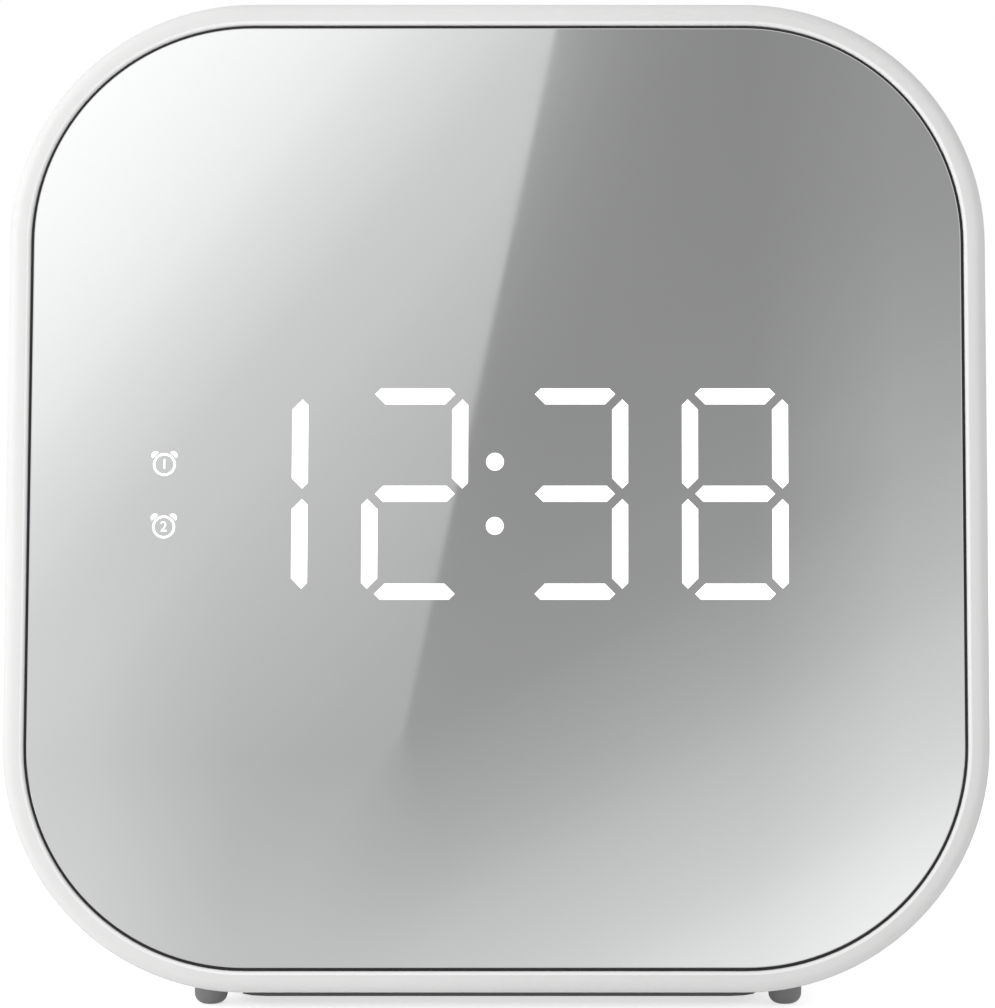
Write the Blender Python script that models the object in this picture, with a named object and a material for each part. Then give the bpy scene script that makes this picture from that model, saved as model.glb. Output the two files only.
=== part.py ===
"""Square bedside clock radio with a mirror face that leans back, built as an assembly of named pieces.

The object stands on +Z, its mirror faces -Y, and the origin is on the floor under the middle of its box.
Sizes are in millimetres and become metres in the meshes. GAP is the space that touching pieces keep.
"""

import math

import bmesh
import bpy
from mathutils import Vector

MM = 0.001

# ---------------------------------------------------------------- driving dimensions
BODY_WIDTH = 103.0
BODY_HEIGHT = 103.7
BODY_DEPTH = 62.0
CORNER_RADIUS = 25.5
LEAN = math.radians(5.0)
WALL = 2.2
GAP = 0.3
REACH = 6.0  # how far a cutter runs past the wall that it cuts
ARC_STEPS = 9

# front rim and mirror stack, depths measured behind the face along its normal
RIM_WIDTH = 2.35
RIM_ROUND = 1.4
MIRROR_SET_BACK = 0.1
MIRROR_THICKNESS = 2.0
TAPE_THICKNESS = 0.5
TAPE_WIDTH = 5.0
FRAME_THICKNESS = 2.0
FLANGE_THICKNESS = 2.0
FLANGE_WIDTH = 5.2
MASK_THICKNESS = 0.4
MASK_MARGIN = 4.0
DIFFUSER_THICKNESS = 0.8
REFLECTOR_DEPTH = 7.0
BOARD_THICKNESS = 1.6
DISPLAY_BOARD_MARGIN = 6.5
DISPLAY_POST_RADIUS = 2.2

# clock display, in the plane of the face, from the middle of the face
DISPLAY_CENTRE = (-0.2, -0.2)
DIGIT_PITCH = 16.75
DIGIT_WIDTH = 11.13
DIGIT_HEIGHT = 22.25
SEGMENT_WIDTH = 1.77
SEGMENT_SPACE = 0.3
COLON_RISE = 3.4
COLON_RADIUS = 0.98
ICON_OFFSET = -34.7
ICON_RADIUS = 1.3
MODULE_MARGIN = 2.0
LED_SIZE = (0.8, 0.6)

# rear shell
REAR_SHELL_DEPTH = 12.0
BACK_ROUND = 6.0
BACK_ROUND_STEPS = 4
TONGUE_LENGTH = 2.5
TONGUE_THICKNESS = 1.1

# corner screws that hold the two shells together
PILLAR_RADIUS = 3.6
PILLAR_INSET = 8.0  # from the outer surface to the pillar's axis, across the corner
SCREW_HEAD_RADIUS = 2.6
SCREW_SHANK_RADIUS = 1.2
SCREW_LENGTH = 14.0
SCREW_SEAT_DEPTH = 7.0
SMALL_SHANK_RADIUS = 0.9
SMALL_HEAD_RADIUS = 2.0
SMALL_SCREW_LENGTH = 6.0

# keys on top
KEY_PROUD = 0.9
KEY_FLANGE = 0.9
KEY_FLANGE_THICKNESS = 1.0
KEY_STEM_RADIUS = 1.1
KEY_STEM_LENGTH = 1.5
KEY_EDGE_ROUND = 0.35
SNOOZE_SIZE = (44.0, 9.0)
SNOOZE_Y = -8.0
SMALL_KEY_SIZE = (9.0, 4.6)
KEY_PITCH = 12.0
KEY_ROW_SPACING = 8.2
DOME_HEIGHT = 1.5
DOME_RADIUS = 2.4
MEMBRANE_THICKNESS = 0.8
KEY_BOARD_MARGIN = 3.6
STAKE_RADIUS = 1.4
STAKE_SHOULDER = 2.4

# base panel, battery bay and door
BASE_WIDTH = 55.0
BASE_PROUD = 1.5
BASE_FLANGE = 2.6
BASE_FLANGE_THICKNESS = 1.8
BASE_PLATE = 2.0
BASE_CORNER = 3.0
BASE_STAKE_RADIUS = 0.7
BASE_STAKE_HEAD = 1.2
BASE_STAKE_SPAN = 20.0
CELL_RADIUS = 5.2
CELL_LENGTH = 44.0
CELL_NIPPLE = 0.8
CELL_SPACE = 0.5
SPRING_SPACE = 3.4
CONTACT_THICKNESS = 0.4
BAY_WALL = 1.5
DOOR_THICKNESS = 1.8
HINGE_PIN_LENGTH = 1.0
HINGE_PIN_RADIUS = 0.6
LATCH_WIDTH = 9.0
LATCH_RISE = 2.0
LATCH_THICKNESS = 0.7
SPRING_WIRE = 0.3
SPRING_TURNS = 3

# feet
FOOT_HEIGHT = 2.3
FOOT_RADIUS = 1.75
FOOT_FLAT_RADIUS = 0.6
FOOT_SPAN = 60.8
FOOT_FRONT = 9.0  # behind the shell's bottom front edge
FOOT_REAR = 8.0  # in front of the parting line
FOOT_SOCKET = 1.2  # how far a foot sits in the shell's floor

# boards and sockets
MAIN_BOARD_WIDTH = 68.0
MAIN_BOARD_RISE = 17.0
MAIN_BOARD_LIP = 8.6  # from the screw posts to the board's front edge
BOARD_POST_X = 22.0
BOARD_POST_RADIUS = 2.2
TUNER_SIZE = (13.0, 12.0, 4.5)
TUNER_X = 26.0
PROCESSOR_SIZE = (10.0, 10.0, 1.4)
PROCESSOR_X = 0.0
PROCESSOR_SETBACK = 3.4  # of its middle behind the screw posts
AMPLIFIER_SIZE = (9.0, 5.0, 2.2)
AMPLIFIER_X = -27.0
AMPLIFIER_SETBACK = 8.2
CAPACITOR_RADIUS = 3.5
CAPACITOR_HEIGHT = 10.0
CAPACITOR_X = -1.5
CAPACITOR_FROM_BACK = 7.2
RIBBON_THICKNESS = 0.6
DISPLAY_RIBBON = (8.0, 14.0)  # middle and width
KEY_RIBBON = (-12.0, 8.0)
LEAD_RADIUS = 0.7
USB_X = -15.0
USB_SIZE = (13.2, 13.5, 5.8)
USB_WALL = 0.5
USB_TONGUE = (11.0, 9.0, 1.8)
JACK_X = 10.0
JACK_SIZE = (9.0, 13.0, 10.5)
JACK_BARREL_RADIUS = 3.9
JACK_BORE_RADIUS = 2.8
JACK_PIN_RADIUS = 0.9
AERIAL_X = 29.0
AERIAL_RISE = 25.0
GLAND_RADIUS = 2.2
GLAND_FLANGE = 1.2
GLAND_BORE = 0.8

# speaker
SPEAKER_RISE = 66.0  # of its axis above the shell's bottom
SPEAKER_RADIUS = 22.0
SPEAKER_STANDOFF = 4.0
SPEAKER_RIM = 1.5
SPEAKER_EAR_RADIUS = 3.4
BASKET_DEPTH = 12.5
BASKET_BACK_RADIUS = 14.4
MAGNET_RADIUS = 12.0
MAGNET_DEPTH = 7.0
CONE_RADIUS = 16.4
COIL_RADIUS = 6.85
GRILLE_RADIUS = 17.5
GRILLE_HOLE_RADIUS = 1.2
GRILLE_PITCH = 4.2

# ---------------------------------------------------------------- places that follow from them
SHELL_BOTTOM = FOOT_HEIGHT
SHELL_TOP = FOOT_HEIGHT + BODY_HEIGHT
SHELL_MIDDLE = FOOT_HEIGHT + BODY_HEIGHT / 2
FLOOR_INSIDE = SHELL_BOTTOM + WALL
CEILING_INSIDE = SHELL_TOP - WALL
FRONT_Y = -BODY_DEPTH / 2 - RIM_ROUND * math.tan(LEAN)  # the unrounded bottom front edge
BACK_Y = BODY_DEPTH / 2
PART_Y = BACK_Y - REAR_SHELL_DEPTH
BACK_INSIDE = BACK_Y - WALL

MIRROR_BACK = MIRROR_SET_BACK + MIRROR_THICKNESS
TAPE_FRONT = MIRROR_BACK + GAP
TAPE_BACK = TAPE_FRONT + TAPE_THICKNESS
FRAME_FRONT = TAPE_BACK + GAP
FRAME_BACK = FRAME_FRONT + FRAME_THICKNESS
FLANGE_FRONT = FRAME_BACK + GAP
FLANGE_BACK = FLANGE_FRONT + FLANGE_THICKNESS
MASK_FRONT = MIRROR_BACK + GAP
MASK_BACK = MASK_FRONT + MASK_THICKNESS
DIFFUSER_FRONT = MASK_BACK + GAP
DIFFUSER_BACK = DIFFUSER_FRONT + DIFFUSER_THICKNESS
REFLECTOR_FRONT = DIFFUSER_BACK + GAP
REFLECTOR_BACK = REFLECTOR_FRONT + REFLECTOR_DEPTH
DISPLAY_BOARD_FRONT = REFLECTOR_BACK + GAP
DISPLAY_BOARD_BACK = DISPLAY_BOARD_FRONT + BOARD_THICKNESS

MODULE_LEFT = DISPLAY_CENTRE[0] + ICON_OFFSET - ICON_RADIUS - MODULE_MARGIN
MODULE_RIGHT = DISPLAY_CENTRE[0] + 1.5 * DIGIT_PITCH + DIGIT_WIDTH / 2 + MODULE_MARGIN
MODULE_WIDTH = MODULE_RIGHT - MODULE_LEFT
MODULE_HEIGHT = DIGIT_HEIGHT + 2 * MODULE_MARGIN
MODULE_CENTRE = ((MODULE_LEFT + MODULE_RIGHT) / 2, DISPLAY_CENTRE[1])

KEY_FLANGE_TOP = CEILING_INSIDE - GAP
KEY_FLANGE_BOTTOM = KEY_FLANGE_TOP - KEY_FLANGE_THICKNESS
KEY_STEM_BOTTOM = KEY_FLANGE_BOTTOM - KEY_STEM_LENGTH
DOME_TOP = KEY_STEM_BOTTOM - GAP
MEMBRANE_TOP = DOME_TOP - DOME_HEIGHT
MEMBRANE_BOTTOM = MEMBRANE_TOP - MEMBRANE_THICKNESS
KEY_BOARD_TOP = MEMBRANE_BOTTOM - GAP
KEY_BOARD_BOTTOM = KEY_BOARD_TOP - BOARD_THICKNESS
FIRST_ROW_Y = SNOOZE_Y + SNOOZE_SIZE[1] / 2 + KEY_ROW_SPACING - SMALL_KEY_SIZE[1] / 2
KEY_ROWS_Y = (FIRST_ROW_Y, FIRST_ROW_Y + KEY_ROW_SPACING)
KEYPAD_WIDTH = SNOOZE_SIZE[0] + 2 * KEY_FLANGE + 2
KEYPAD_FRONT = SNOOZE_Y - SNOOZE_SIZE[1] / 2 - KEY_FLANGE
KEYPAD_BACK = KEY_ROWS_Y[1] + SMALL_KEY_SIZE[1] / 2 + KEY_FLANGE
KEYPAD_MIDDLE = (KEYPAD_FRONT + KEYPAD_BACK) / 2
KEYPAD_DEPTH = KEYPAD_BACK - KEYPAD_FRONT
STAKE_X = KEYPAD_WIDTH / 2 + GAP + STAKE_SHOULDER
KEY_BOARD_WIDTH = 2 * (STAKE_X + KEY_BOARD_MARGIN)

BASE_BOTTOM = SHELL_BOTTOM - BASE_PROUD
BASE_FRONT = (
    FRONT_Y + (RIM_WIDTH + FLANGE_WIDTH) * math.tan(LEAN) + FLANGE_BACK / math.cos(LEAN) + GAP
)
BASE_REAR = PART_Y - TONGUE_LENGTH - BASE_FLANGE - 2 * GAP
BASE_DEPTH = BASE_REAR - BASE_FRONT
BASE_MIDDLE = (BASE_FRONT + BASE_REAR) / 2
CORNER_CENTRE = (BODY_WIDTH / 2 - CORNER_RADIUS, BODY_HEIGHT / 2 - CORNER_RADIUS)
BASE_FLANGE_REACH = max(0.0, BASE_WIDTH / 2 + BASE_FLANGE - CORNER_CENTRE[0])
BASE_FLANGE_LIFT = (CORNER_RADIUS - WALL) - math.sqrt((CORNER_RADIUS - WALL) ** 2 - BASE_FLANGE_REACH**2)
BASE_FLANGE_BOTTOM = FLOOR_INSIDE + BASE_FLANGE_LIFT + GAP
BASE_FLANGE_TOP = BASE_FLANGE_BOTTOM + BASE_FLANGE_THICKNESS
BAY_LENGTH = CELL_LENGTH + CELL_NIPPLE + SPRING_SPACE + 2 * (CONTACT_THICKNESS + GAP)
BAY_WIDTH = 4 * CELL_RADIUS + 3 * CELL_SPACE
DOOR_TOP = BASE_BOTTOM + DOOR_THICKNESS
CELL_Z = DOOR_TOP + CELL_SPACE + CELL_RADIUS
BAY_CEILING = CELL_Z + CELL_RADIUS + CELL_SPACE
HINGE_Y = BASE_MIDDLE - BAY_WIDTH / 2 + GAP + DOOR_THICKNESS / 2
HINGE_Z = BASE_BOTTOM + DOOR_THICKNESS / 2
CELL_Y = CELL_RADIUS + CELL_SPACE / 2
CONTACT_FACE = BAY_LENGTH / 2 - GAP - CONTACT_THICKNESS
CELL_END = CONTACT_FACE - GAP - CELL_NIPPLE

MAIN_BOARD_BOTTOM = SHELL_BOTTOM + MAIN_BOARD_RISE
MAIN_BOARD_TOP = MAIN_BOARD_BOTTOM + BOARD_THICKNESS
MAIN_BOARD_BACK = BACK_INSIDE - 2 * GAP
BOARD_POST_Y = BASE_MIDDLE + BAY_WIDTH / 2 + BAY_WALL - BOARD_POST_RADIUS
MAIN_BOARD_FRONT = BOARD_POST_Y - MAIN_BOARD_LIP
TUNER_Y = BOARD_POST_Y + SMALL_HEAD_RADIUS + 1 + TUNER_SIZE[1] / 2
SOCKET_BOTTOM = MAIN_BOARD_TOP + GAP
SOCKET_MOUTH = BACK_Y - 0.8
SPEAKER_Z = SHELL_BOTTOM + SPEAKER_RISE
SPEAKER_FRONT = BACK_INSIDE - SPEAKER_STANDOFF
SPEAKER_EAR_X = SPEAKER_RADIUS + SPEAKER_EAR_RADIUS
BASKET_BACK = SPEAKER_FRONT - BASKET_DEPTH
MAGNET_FRONT = BASKET_BACK - GAP
PILLAR_REACH = (CORNER_RADIUS - PILLAR_INSET) / math.sqrt(2)
PILLAR_X = CORNER_CENTRE[0] + PILLAR_REACH
PILLAR_Z = CORNER_CENTRE[1] + PILLAR_REACH


# ---------------------------------------------------------------- modelling tools
def clear_scene():
    """Removes every object, so that the script starts from nothing."""
    for obj in list(bpy.data.objects):
        bpy.data.objects.remove(obj, do_unlink=True)


def material(name, colour, roughness, metallic=0.0):
    """A Principled material, made once for each name."""
    found = bpy.data.materials.get(name)
    if found:
        return found
    made = bpy.data.materials.new(name)
    made.use_nodes = True
    made.diffuse_color = (*colour, 1.0)
    shader = made.node_tree.nodes["Principled BSDF"]
    shader.inputs["Base Color"].default_value = (*colour, 1.0)
    shader.inputs["Roughness"].default_value = roughness
    shader.inputs["Metallic"].default_value = metallic
    return made


def white_plastic():
    return material("white_plastic", (0.82, 0.82, 0.81), 0.42)


def grey_plastic():
    return material("grey_plastic", (0.05, 0.05, 0.055), 0.5)


def black_plastic():
    return material("black_plastic", (0.012, 0.012, 0.013), 0.5)


def mirror_finish():
    return material("mirror_finish", (0.86, 0.87, 0.88), 0.03, 1.0)


def black_film():
    return material("black_film", (0.008, 0.008, 0.008), 0.8)


def milky_plastic():
    return material("milky_plastic", (0.9, 0.9, 0.9), 0.4)


def circuit_board():
    return material("circuit_board", (0.02, 0.13, 0.05), 0.45)


def grey_rubber():
    return material("grey_rubber", (0.2, 0.2, 0.2), 0.75)


def black_rubber():
    return material("black_rubber", (0.02, 0.02, 0.02), 0.8)


def steel():
    return material("steel", (0.6, 0.6, 0.6), 0.3, 1.0)


def brass():
    return material("brass", (0.75, 0.6, 0.3), 0.3, 1.0)


def paper():
    return material("paper", (0.06, 0.06, 0.065), 0.9)


def cell_jacket():
    return material("cell_jacket", (0.1, 0.2, 0.35), 0.35)


def ribbon():
    return material("ribbon", (0.75, 0.75, 0.73), 0.4)


def in_metres(point):
    return Vector(point) * MM


def new_object(name, mesh_maker, finish=None, helper=False, parent=None):
    """A mesh object filled by mesh_maker(bm). A helper only cuts or joins, so it isn't rendered."""
    mesh = bpy.data.meshes.new(name)
    work = bmesh.new()
    mesh_maker(work)
    bmesh.ops.recalc_face_normals(work, faces=work.faces)
    work.to_mesh(mesh)
    work.free()
    obj = bpy.data.objects.new(name, mesh)
    bpy.context.scene.collection.objects.link(obj)
    if finish:
        mesh.materials.append(finish)
    if parent:
        obj.parent = parent
    if helper:
        obj.hide_render = True
        obj.display_type = "WIRE"
    else:
        mesh.shade_smooth()
        mesh.set_sharp_from_angle(angle=math.radians(35))
    return obj


def boolean(target, helper, operation):
    """Adds an exact Boolean with a helper to target."""
    modifier = target.modifiers.new(f"{operation.lower()}_{helper.name}", "BOOLEAN")
    modifier.operation = operation
    modifier.solver = "EXACT"
    modifier.object = helper


def cut(target, *helpers):
    for helper in helpers:
        boolean(target, helper, "DIFFERENCE")


def join(target, *helpers):
    for helper in helpers:
        boolean(target, helper, "UNION")


def rounded_rectangle(width, height, radius, steps=ARC_STEPS):
    """Corner arcs of a rounded rectangle round the origin, as points anticlockwise."""
    points = []
    for quarter, (side, rise) in enumerate(((1, 1), (-1, 1), (-1, -1), (1, -1))):
        centre_x = side * (width / 2 - radius)
        centre_y = rise * (height / 2 - radius)
        for step in range(steps + 1):
            angle = math.pi / 2 * (quarter + step / steps)
            points.append((centre_x + radius * math.cos(angle), centre_y + radius * math.sin(angle)))
    return points


def circle(radius, sides, centre=(0.0, 0.0)):
    turn = 2 * math.pi / sides
    return [
        (centre[0] + radius * math.cos(turn * (k + 0.5)), centre[1] + radius * math.sin(turn * (k + 0.5)))
        for k in range(sides)
    ]


def moved(points, offset):
    return [(x + offset[0], y + offset[1]) for x, y in points]


def place_xy(a, b, along):
    """An outline lying flat, extruded up."""
    return (a, b, along)


def place_xz(a, b, along):
    """An outline standing up, extruded towards the back."""
    return (a, along, b)


def place_yz(a, b, along):
    """An outline in the side view, extruded to the right."""
    return (along, a, b)


def prism(outline, start, end, place=place_xy):
    """A mesh maker: the outline is made a face at start and extruded to end."""

    def make(work):
        ring = [work.verts.new(in_metres(place(a, b, start))) for a, b in outline]
        face = work.faces.new(ring)
        grown = bmesh.ops.extrude_face_region(work, geom=[face])
        top = [item for item in grown["geom"] if isinstance(item, bmesh.types.BMVert)]
        shift = in_metres(place(0.0, 0.0, end)) - in_metres(place(0.0, 0.0, start))
        bmesh.ops.translate(work, verts=top, vec=shift)

    return make


def box(low, high):
    """A mesh maker: a block between two corners."""
    outline = [(low[0], low[1]), (high[0], low[1]), (high[0], high[1]), (low[0], high[1])]
    return prism(outline, low[2], high[2])


def several(*makers):
    """A mesh maker that puts several shapes, which don't touch, in one helper mesh."""

    def make(work):
        for maker in makers:
            maker(work)

    return make


def loft(rings, closed=False):
    """A mesh maker: rings of equal length joined by strips, and either closed on themselves or capped."""

    def make(work):
        loops = [[work.verts.new(in_metres(point)) for point in ring] for ring in rings]
        pairs = list(zip(loops, loops[1:]))
        if closed:
            pairs.append((loops[-1], loops[0]))
        else:
            work.faces.new(loops[0])
            work.faces.new(list(reversed(loops[-1])))
        for one, other in pairs:
            for k in range(len(one)):
                following = (k + 1) % len(one)
                work.faces.new((one[k], one[following], other[following], other[k]))

    return make


def lathe(profile, sides, centre=(0.0, 0.0), closed=False, place=place_xy):
    """A mesh maker: (radius, along) points turned round an axis. Open profiles are capped at both ends."""
    rings = [[place(a, b, along) for a, b in circle(radius, sides, centre)] for radius, along in profile]
    return loft(rings, closed)


def cylinder(radius, start, end, centre=(0.0, 0.0), sides=16, place=place_xy):
    return prism(circle(radius, sides, centre), start, end, place)


def sweep(route, radius, sides=6):
    """A mesh maker: a round wire of one thickness along a route."""
    points = [Vector(point) for point in route]
    rings = []
    side = None
    for index, point in enumerate(points):
        ahead = points[min(index + 1, len(points) - 1)]
        behind = points[max(index - 1, 0)]
        along = (ahead - behind).normalized()
        if side is None:
            side = along.orthogonal().normalized()
        side = (side - along * side.dot(along)).normalized()
        other = along.cross(side)
        unit = circle(1.0, sides)
        rings.append([tuple(point + side * (a * radius) + other * (b * radius)) for a, b in unit])
    return loft(rings)


def strip(route, thickness):
    """The outline of a thin band that follows a flat route."""
    left = []
    right = []
    for index, (a, b) in enumerate(route):
        ahead = route[min(index + 1, len(route) - 1)]
        behind = route[max(index - 1, 0)]
        along = Vector((ahead[0] - behind[0], ahead[1] - behind[1])).normalized()
        left.append((a - along.y * thickness / 2, b + along.x * thickness / 2))
        right.append((a + along.y * thickness / 2, b - along.x * thickness / 2))
    return left + list(reversed(right))


def smooth_route(points, steps):
    """A Catmull-Rom curve through points, read at steps places on each stretch."""
    vectors = [Vector(p) for p in points]
    padded = [2 * vectors[0] - vectors[1], *vectors, 2 * vectors[-1] - vectors[-2]]
    route = []
    for before, start, end, after in zip(padded, padded[1:], padded[2:], padded[3:]):
        for step in range(steps):
            t = step / steps
            route.append(
                0.5
                * (
                    2 * start
                    + (end - before) * t
                    + (2 * before - 5 * start + 4 * end - after) * t**2
                    + (3 * start - before - 3 * end + after) * t**3
                )
            )
    route.append(vectors[-1])
    return route


# ---------------------------------------------------------------- the leaning face
def face_y(z):
    """Where the face plane is at a height."""
    return FRONT_Y + (z - SHELL_BOTTOM) * math.tan(LEAN)


def face_empty():
    """An empty at the middle of the face. Its Y axis runs into the body, and its Z axis up the face."""
    empty = bpy.data.objects.new("face_axes", None)
    bpy.context.scene.collection.objects.link(empty)
    empty.location = in_metres((0.0, face_y(SHELL_MIDDLE), SHELL_MIDDLE))
    empty.rotation_euler = (-LEAN, 0.0, 0.0)
    return empty


def body_outline(inset):
    """The body's front view, a rounded square, taken in by inset, round the middle of the body."""
    return rounded_rectangle(BODY_WIDTH - 2 * inset, BODY_HEIGHT - 2 * inset, CORNER_RADIUS - inset)


def face_outline(inset):
    """The same outline as it lies in the leaning face, where it is a little taller."""
    return [(x, z / math.cos(LEAN)) for x, z in body_outline(inset)]


def ring_behind_face(inset, depth):
    """The outline on the face plane, moved level towards the back."""
    ring = []
    for x, z in body_outline(inset):
        height = SHELL_MIDDLE + z
        ring.append((x, face_y(height) + depth, height))
    return ring


def ring_into_face(inset, depth):
    """The outline on the face plane, moved square to it into the body."""
    ring = []
    for x, z in body_outline(inset):
        height = SHELL_MIDDLE + z
        ring.append((x, face_y(height) + depth * math.cos(LEAN), height - depth * math.sin(LEAN)))
    return ring


def ring_upright(inset, y):
    return [(x, y, SHELL_MIDDLE + z) for x, z in body_outline(inset)]


def corners(x, z):
    """The four places at plus or minus x and z, named."""
    return {
        "upper_left": (-x, z),
        "upper_right": (x, z),
        "lower_left": (-x, -z),
        "lower_right": (x, -z),
    }


# ---------------------------------------------------------------- shells
def front_housing():
    """The white shell: rounded rim, recess for the mirror, inner flange, keyed top and open back."""
    rings = []
    steps = 3
    for step in range(steps + 1):
        angle = math.pi / 2 * step / steps
        inset = RIM_ROUND * (1 - math.sin(angle))
        rings.append(ring_behind_face(inset, RIM_ROUND * (1 - math.cos(angle))))
    rings.append(ring_upright(0.0, PART_Y - GAP / 2))
    rings.append(ring_upright(WALL, PART_Y - GAP / 2))
    rings.append(ring_behind_face(WALL, FLANGE_BACK / math.cos(LEAN)))
    rings.append(ring_into_face(RIM_WIDTH + FLANGE_WIDTH, FLANGE_BACK))
    rings.append(ring_into_face(RIM_WIDTH + FLANGE_WIDTH, FLANGE_FRONT))
    rings.append(ring_into_face(RIM_WIDTH, FLANGE_FRONT))
    rings.append(ring_into_face(RIM_WIDTH, 0.0))
    shell = new_object("front_housing", loft(rings, closed=True), white_plastic())

    pillars = []
    pilots = []
    for x, z in corners(PILLAR_X, PILLAR_Z).values():
        height = SHELL_MIDDLE + z
        start = face_y(height) + FLANGE_FRONT + FLANGE_THICKNESS / 2
        pillars.append(cylinder(PILLAR_RADIUS, start, PART_Y - GAP / 2, (x, height), 14, place_xz))
        depth = SCREW_LENGTH + GAP - (BACK_Y - SCREW_SEAT_DEPTH - PART_Y)
        pilots.append(
            cylinder(SCREW_SHANK_RADIUS + GAP, PART_Y - depth, PART_Y + REACH, (x, height), 10, place_xz)
        )
    join(shell, new_object("housing_pillars", several(*pillars), helper=True))
    cut(shell, new_object("housing_pilot_holes", several(*pilots), helper=True))

    stakes = []
    for side in (-1, 1):
        for y in (KEYPAD_FRONT + STAKE_SHOULDER, KEYPAD_BACK - STAKE_SHOULDER):
            centre = (side * STAKE_X, y)
            profile = (
                (STAKE_RADIUS, KEY_BOARD_BOTTOM - GAP),
                (STAKE_RADIUS, KEY_BOARD_TOP + GAP),
                (STAKE_SHOULDER, KEY_BOARD_TOP + GAP),
                (STAKE_SHOULDER, CEILING_INSIDE + WALL / 3),
            )
            stakes.append(lathe(profile, 12, centre))
    join(shell, new_object("housing_key_stakes", several(*stakes), helper=True))

    openings = [prism(key_outline(SNOOZE_SIZE, GAP, (0.0, SNOOZE_Y)), CEILING_INSIDE - 1, SHELL_TOP + REACH)]
    for centre in small_key_places().values():
        outline = key_outline(SMALL_KEY_SIZE, GAP, centre)
        openings.append(prism(outline, CEILING_INSIDE - 1, SHELL_TOP + REACH))
    cut(shell, new_object("housing_key_openings", several(*openings), helper=True))

    base_opening = moved(
        rounded_rectangle(BASE_WIDTH + 2 * GAP, BASE_DEPTH + 2 * GAP, BASE_CORNER + GAP, 4),
        (0.0, BASE_MIDDLE),
    )
    base_cut = prism(base_opening, SHELL_BOTTOM - REACH, FLOOR_INSIDE + GAP / 2)
    sockets = [
        cylinder(FOOT_RADIUS + GAP, SHELL_BOTTOM - REACH, foot_top() + GAP, place, 12)
        for place in foot_places().values()
    ]
    cut(shell, new_object("housing_base_opening", several(base_cut, *sockets), helper=True))

    stakes = []
    for x, y in base_stake_places():
        profile = (
            (BASE_STAKE_RADIUS, BASE_FLANGE_BOTTOM - GAP - WALL / 4),
            (BASE_STAKE_RADIUS, BASE_FLANGE_TOP + GAP),
            (BASE_STAKE_HEAD, BASE_FLANGE_TOP + GAP),
            (BASE_STAKE_HEAD, BASE_FLANGE_TOP + 3 * GAP),
        )
        stakes.append(lathe(profile, 8, (x, y)))
    join(shell, new_object("housing_base_stakes", several(*stakes), helper=True))
    return shell


def rear_shell():
    """The white back: a rounded cup with the grille, the sockets' openings and four deep screw seats."""
    rings = []
    for step in range(BACK_ROUND_STEPS + 1):
        angle = math.pi / 2 * step / BACK_ROUND_STEPS
        inset = BACK_ROUND * (1 - math.sin(angle))
        rings.append(ring_upright(inset, BACK_Y - BACK_ROUND * (1 - math.cos(angle))))
    rings.append(ring_upright(0.0, PART_Y + GAP / 2))
    rings.append(ring_upright(WALL + GAP, PART_Y + GAP / 2))
    rings.append(ring_upright(WALL + GAP, PART_Y - TONGUE_LENGTH))
    rings.append(ring_upright(WALL + GAP + TONGUE_THICKNESS, PART_Y - TONGUE_LENGTH))
    inner_round = BACK_ROUND - WALL
    inner_start = WALL + GAP + TONGUE_THICKNESS
    rings.append(ring_upright(inner_start, BACK_INSIDE - inner_round))
    rings.append(ring_upright(inner_start + inner_round * 0.3, BACK_INSIDE - inner_round * 0.3))
    rings.append(ring_upright(inner_start + inner_round, BACK_INSIDE))
    shell = new_object("rear_shell", loft(rings), white_plastic())

    tubes = []
    holes = []
    seat = BACK_Y - SCREW_SEAT_DEPTH
    for x, z in corners(PILLAR_X, PILLAR_Z).values():
        centre = (x, SHELL_MIDDLE + z)
        back = BACK_INSIDE + WALL / 3
        tubes.append(cylinder(PILLAR_RADIUS + 0.8, PART_Y + GAP / 2, back, centre, 14, place_xz))
        stepped = (
            (SCREW_SHANK_RADIUS + GAP, PART_Y - REACH),
            (SCREW_SHANK_RADIUS + GAP, seat),
            (SCREW_HEAD_RADIUS + GAP, seat),
            (SCREW_HEAD_RADIUS + GAP, BACK_Y + REACH),
        )
        holes.append(lathe(stepped, 12, centre, place=place_xz))
    for side in (-1, 1):
        ear = (side * SPEAKER_EAR_X, SPEAKER_Z)
        post = (SPEAKER_FRONT + GAP, BACK_INSIDE + WALL / 3)
        tubes.append(cylinder(SPEAKER_EAR_RADIUS - GAP, *post, ear, 12, place_xz))
        pilot = (SPEAKER_FRONT - REACH, SPEAKER_FRONT - SPEAKER_RIM + SMALL_SCREW_LENGTH)
        holes.append(cylinder(SMALL_SHANK_RADIUS + GAP, *pilot, ear, 10, place_xz))
    join(shell, new_object("rear_bosses", several(*tubes), helper=True))
    cut(shell, new_object("rear_screw_seats", several(*holes), helper=True))

    cut(shell, new_object("rear_grille_holes", several(*grille_holes()), helper=True))
    cut(shell, new_object("rear_socket_openings", several(*socket_openings()), helper=True))
    return shell


def grille_holes():
    """Round holes on a triangular grid, inside the grille's circle."""
    holes = []
    rows = int(GRILLE_RADIUS / (GRILLE_PITCH * math.sqrt(3) / 2)) + 1
    for row in range(-rows, rows + 1):
        rise = row * GRILLE_PITCH * math.sqrt(3) / 2
        shift = GRILLE_PITCH / 2 if row % 2 else 0.0
        for column in range(-rows - 1, rows + 2):
            across = column * GRILLE_PITCH + shift
            if math.hypot(across, rise) + GRILLE_HOLE_RADIUS <= GRILLE_RADIUS:
                centre = (across, SPEAKER_Z + rise)
                holes.append(
                    cylinder(GRILLE_HOLE_RADIUS, BACK_INSIDE - GAP, BACK_Y + REACH, centre, 6, place_xz)
                )
    return holes


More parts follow.
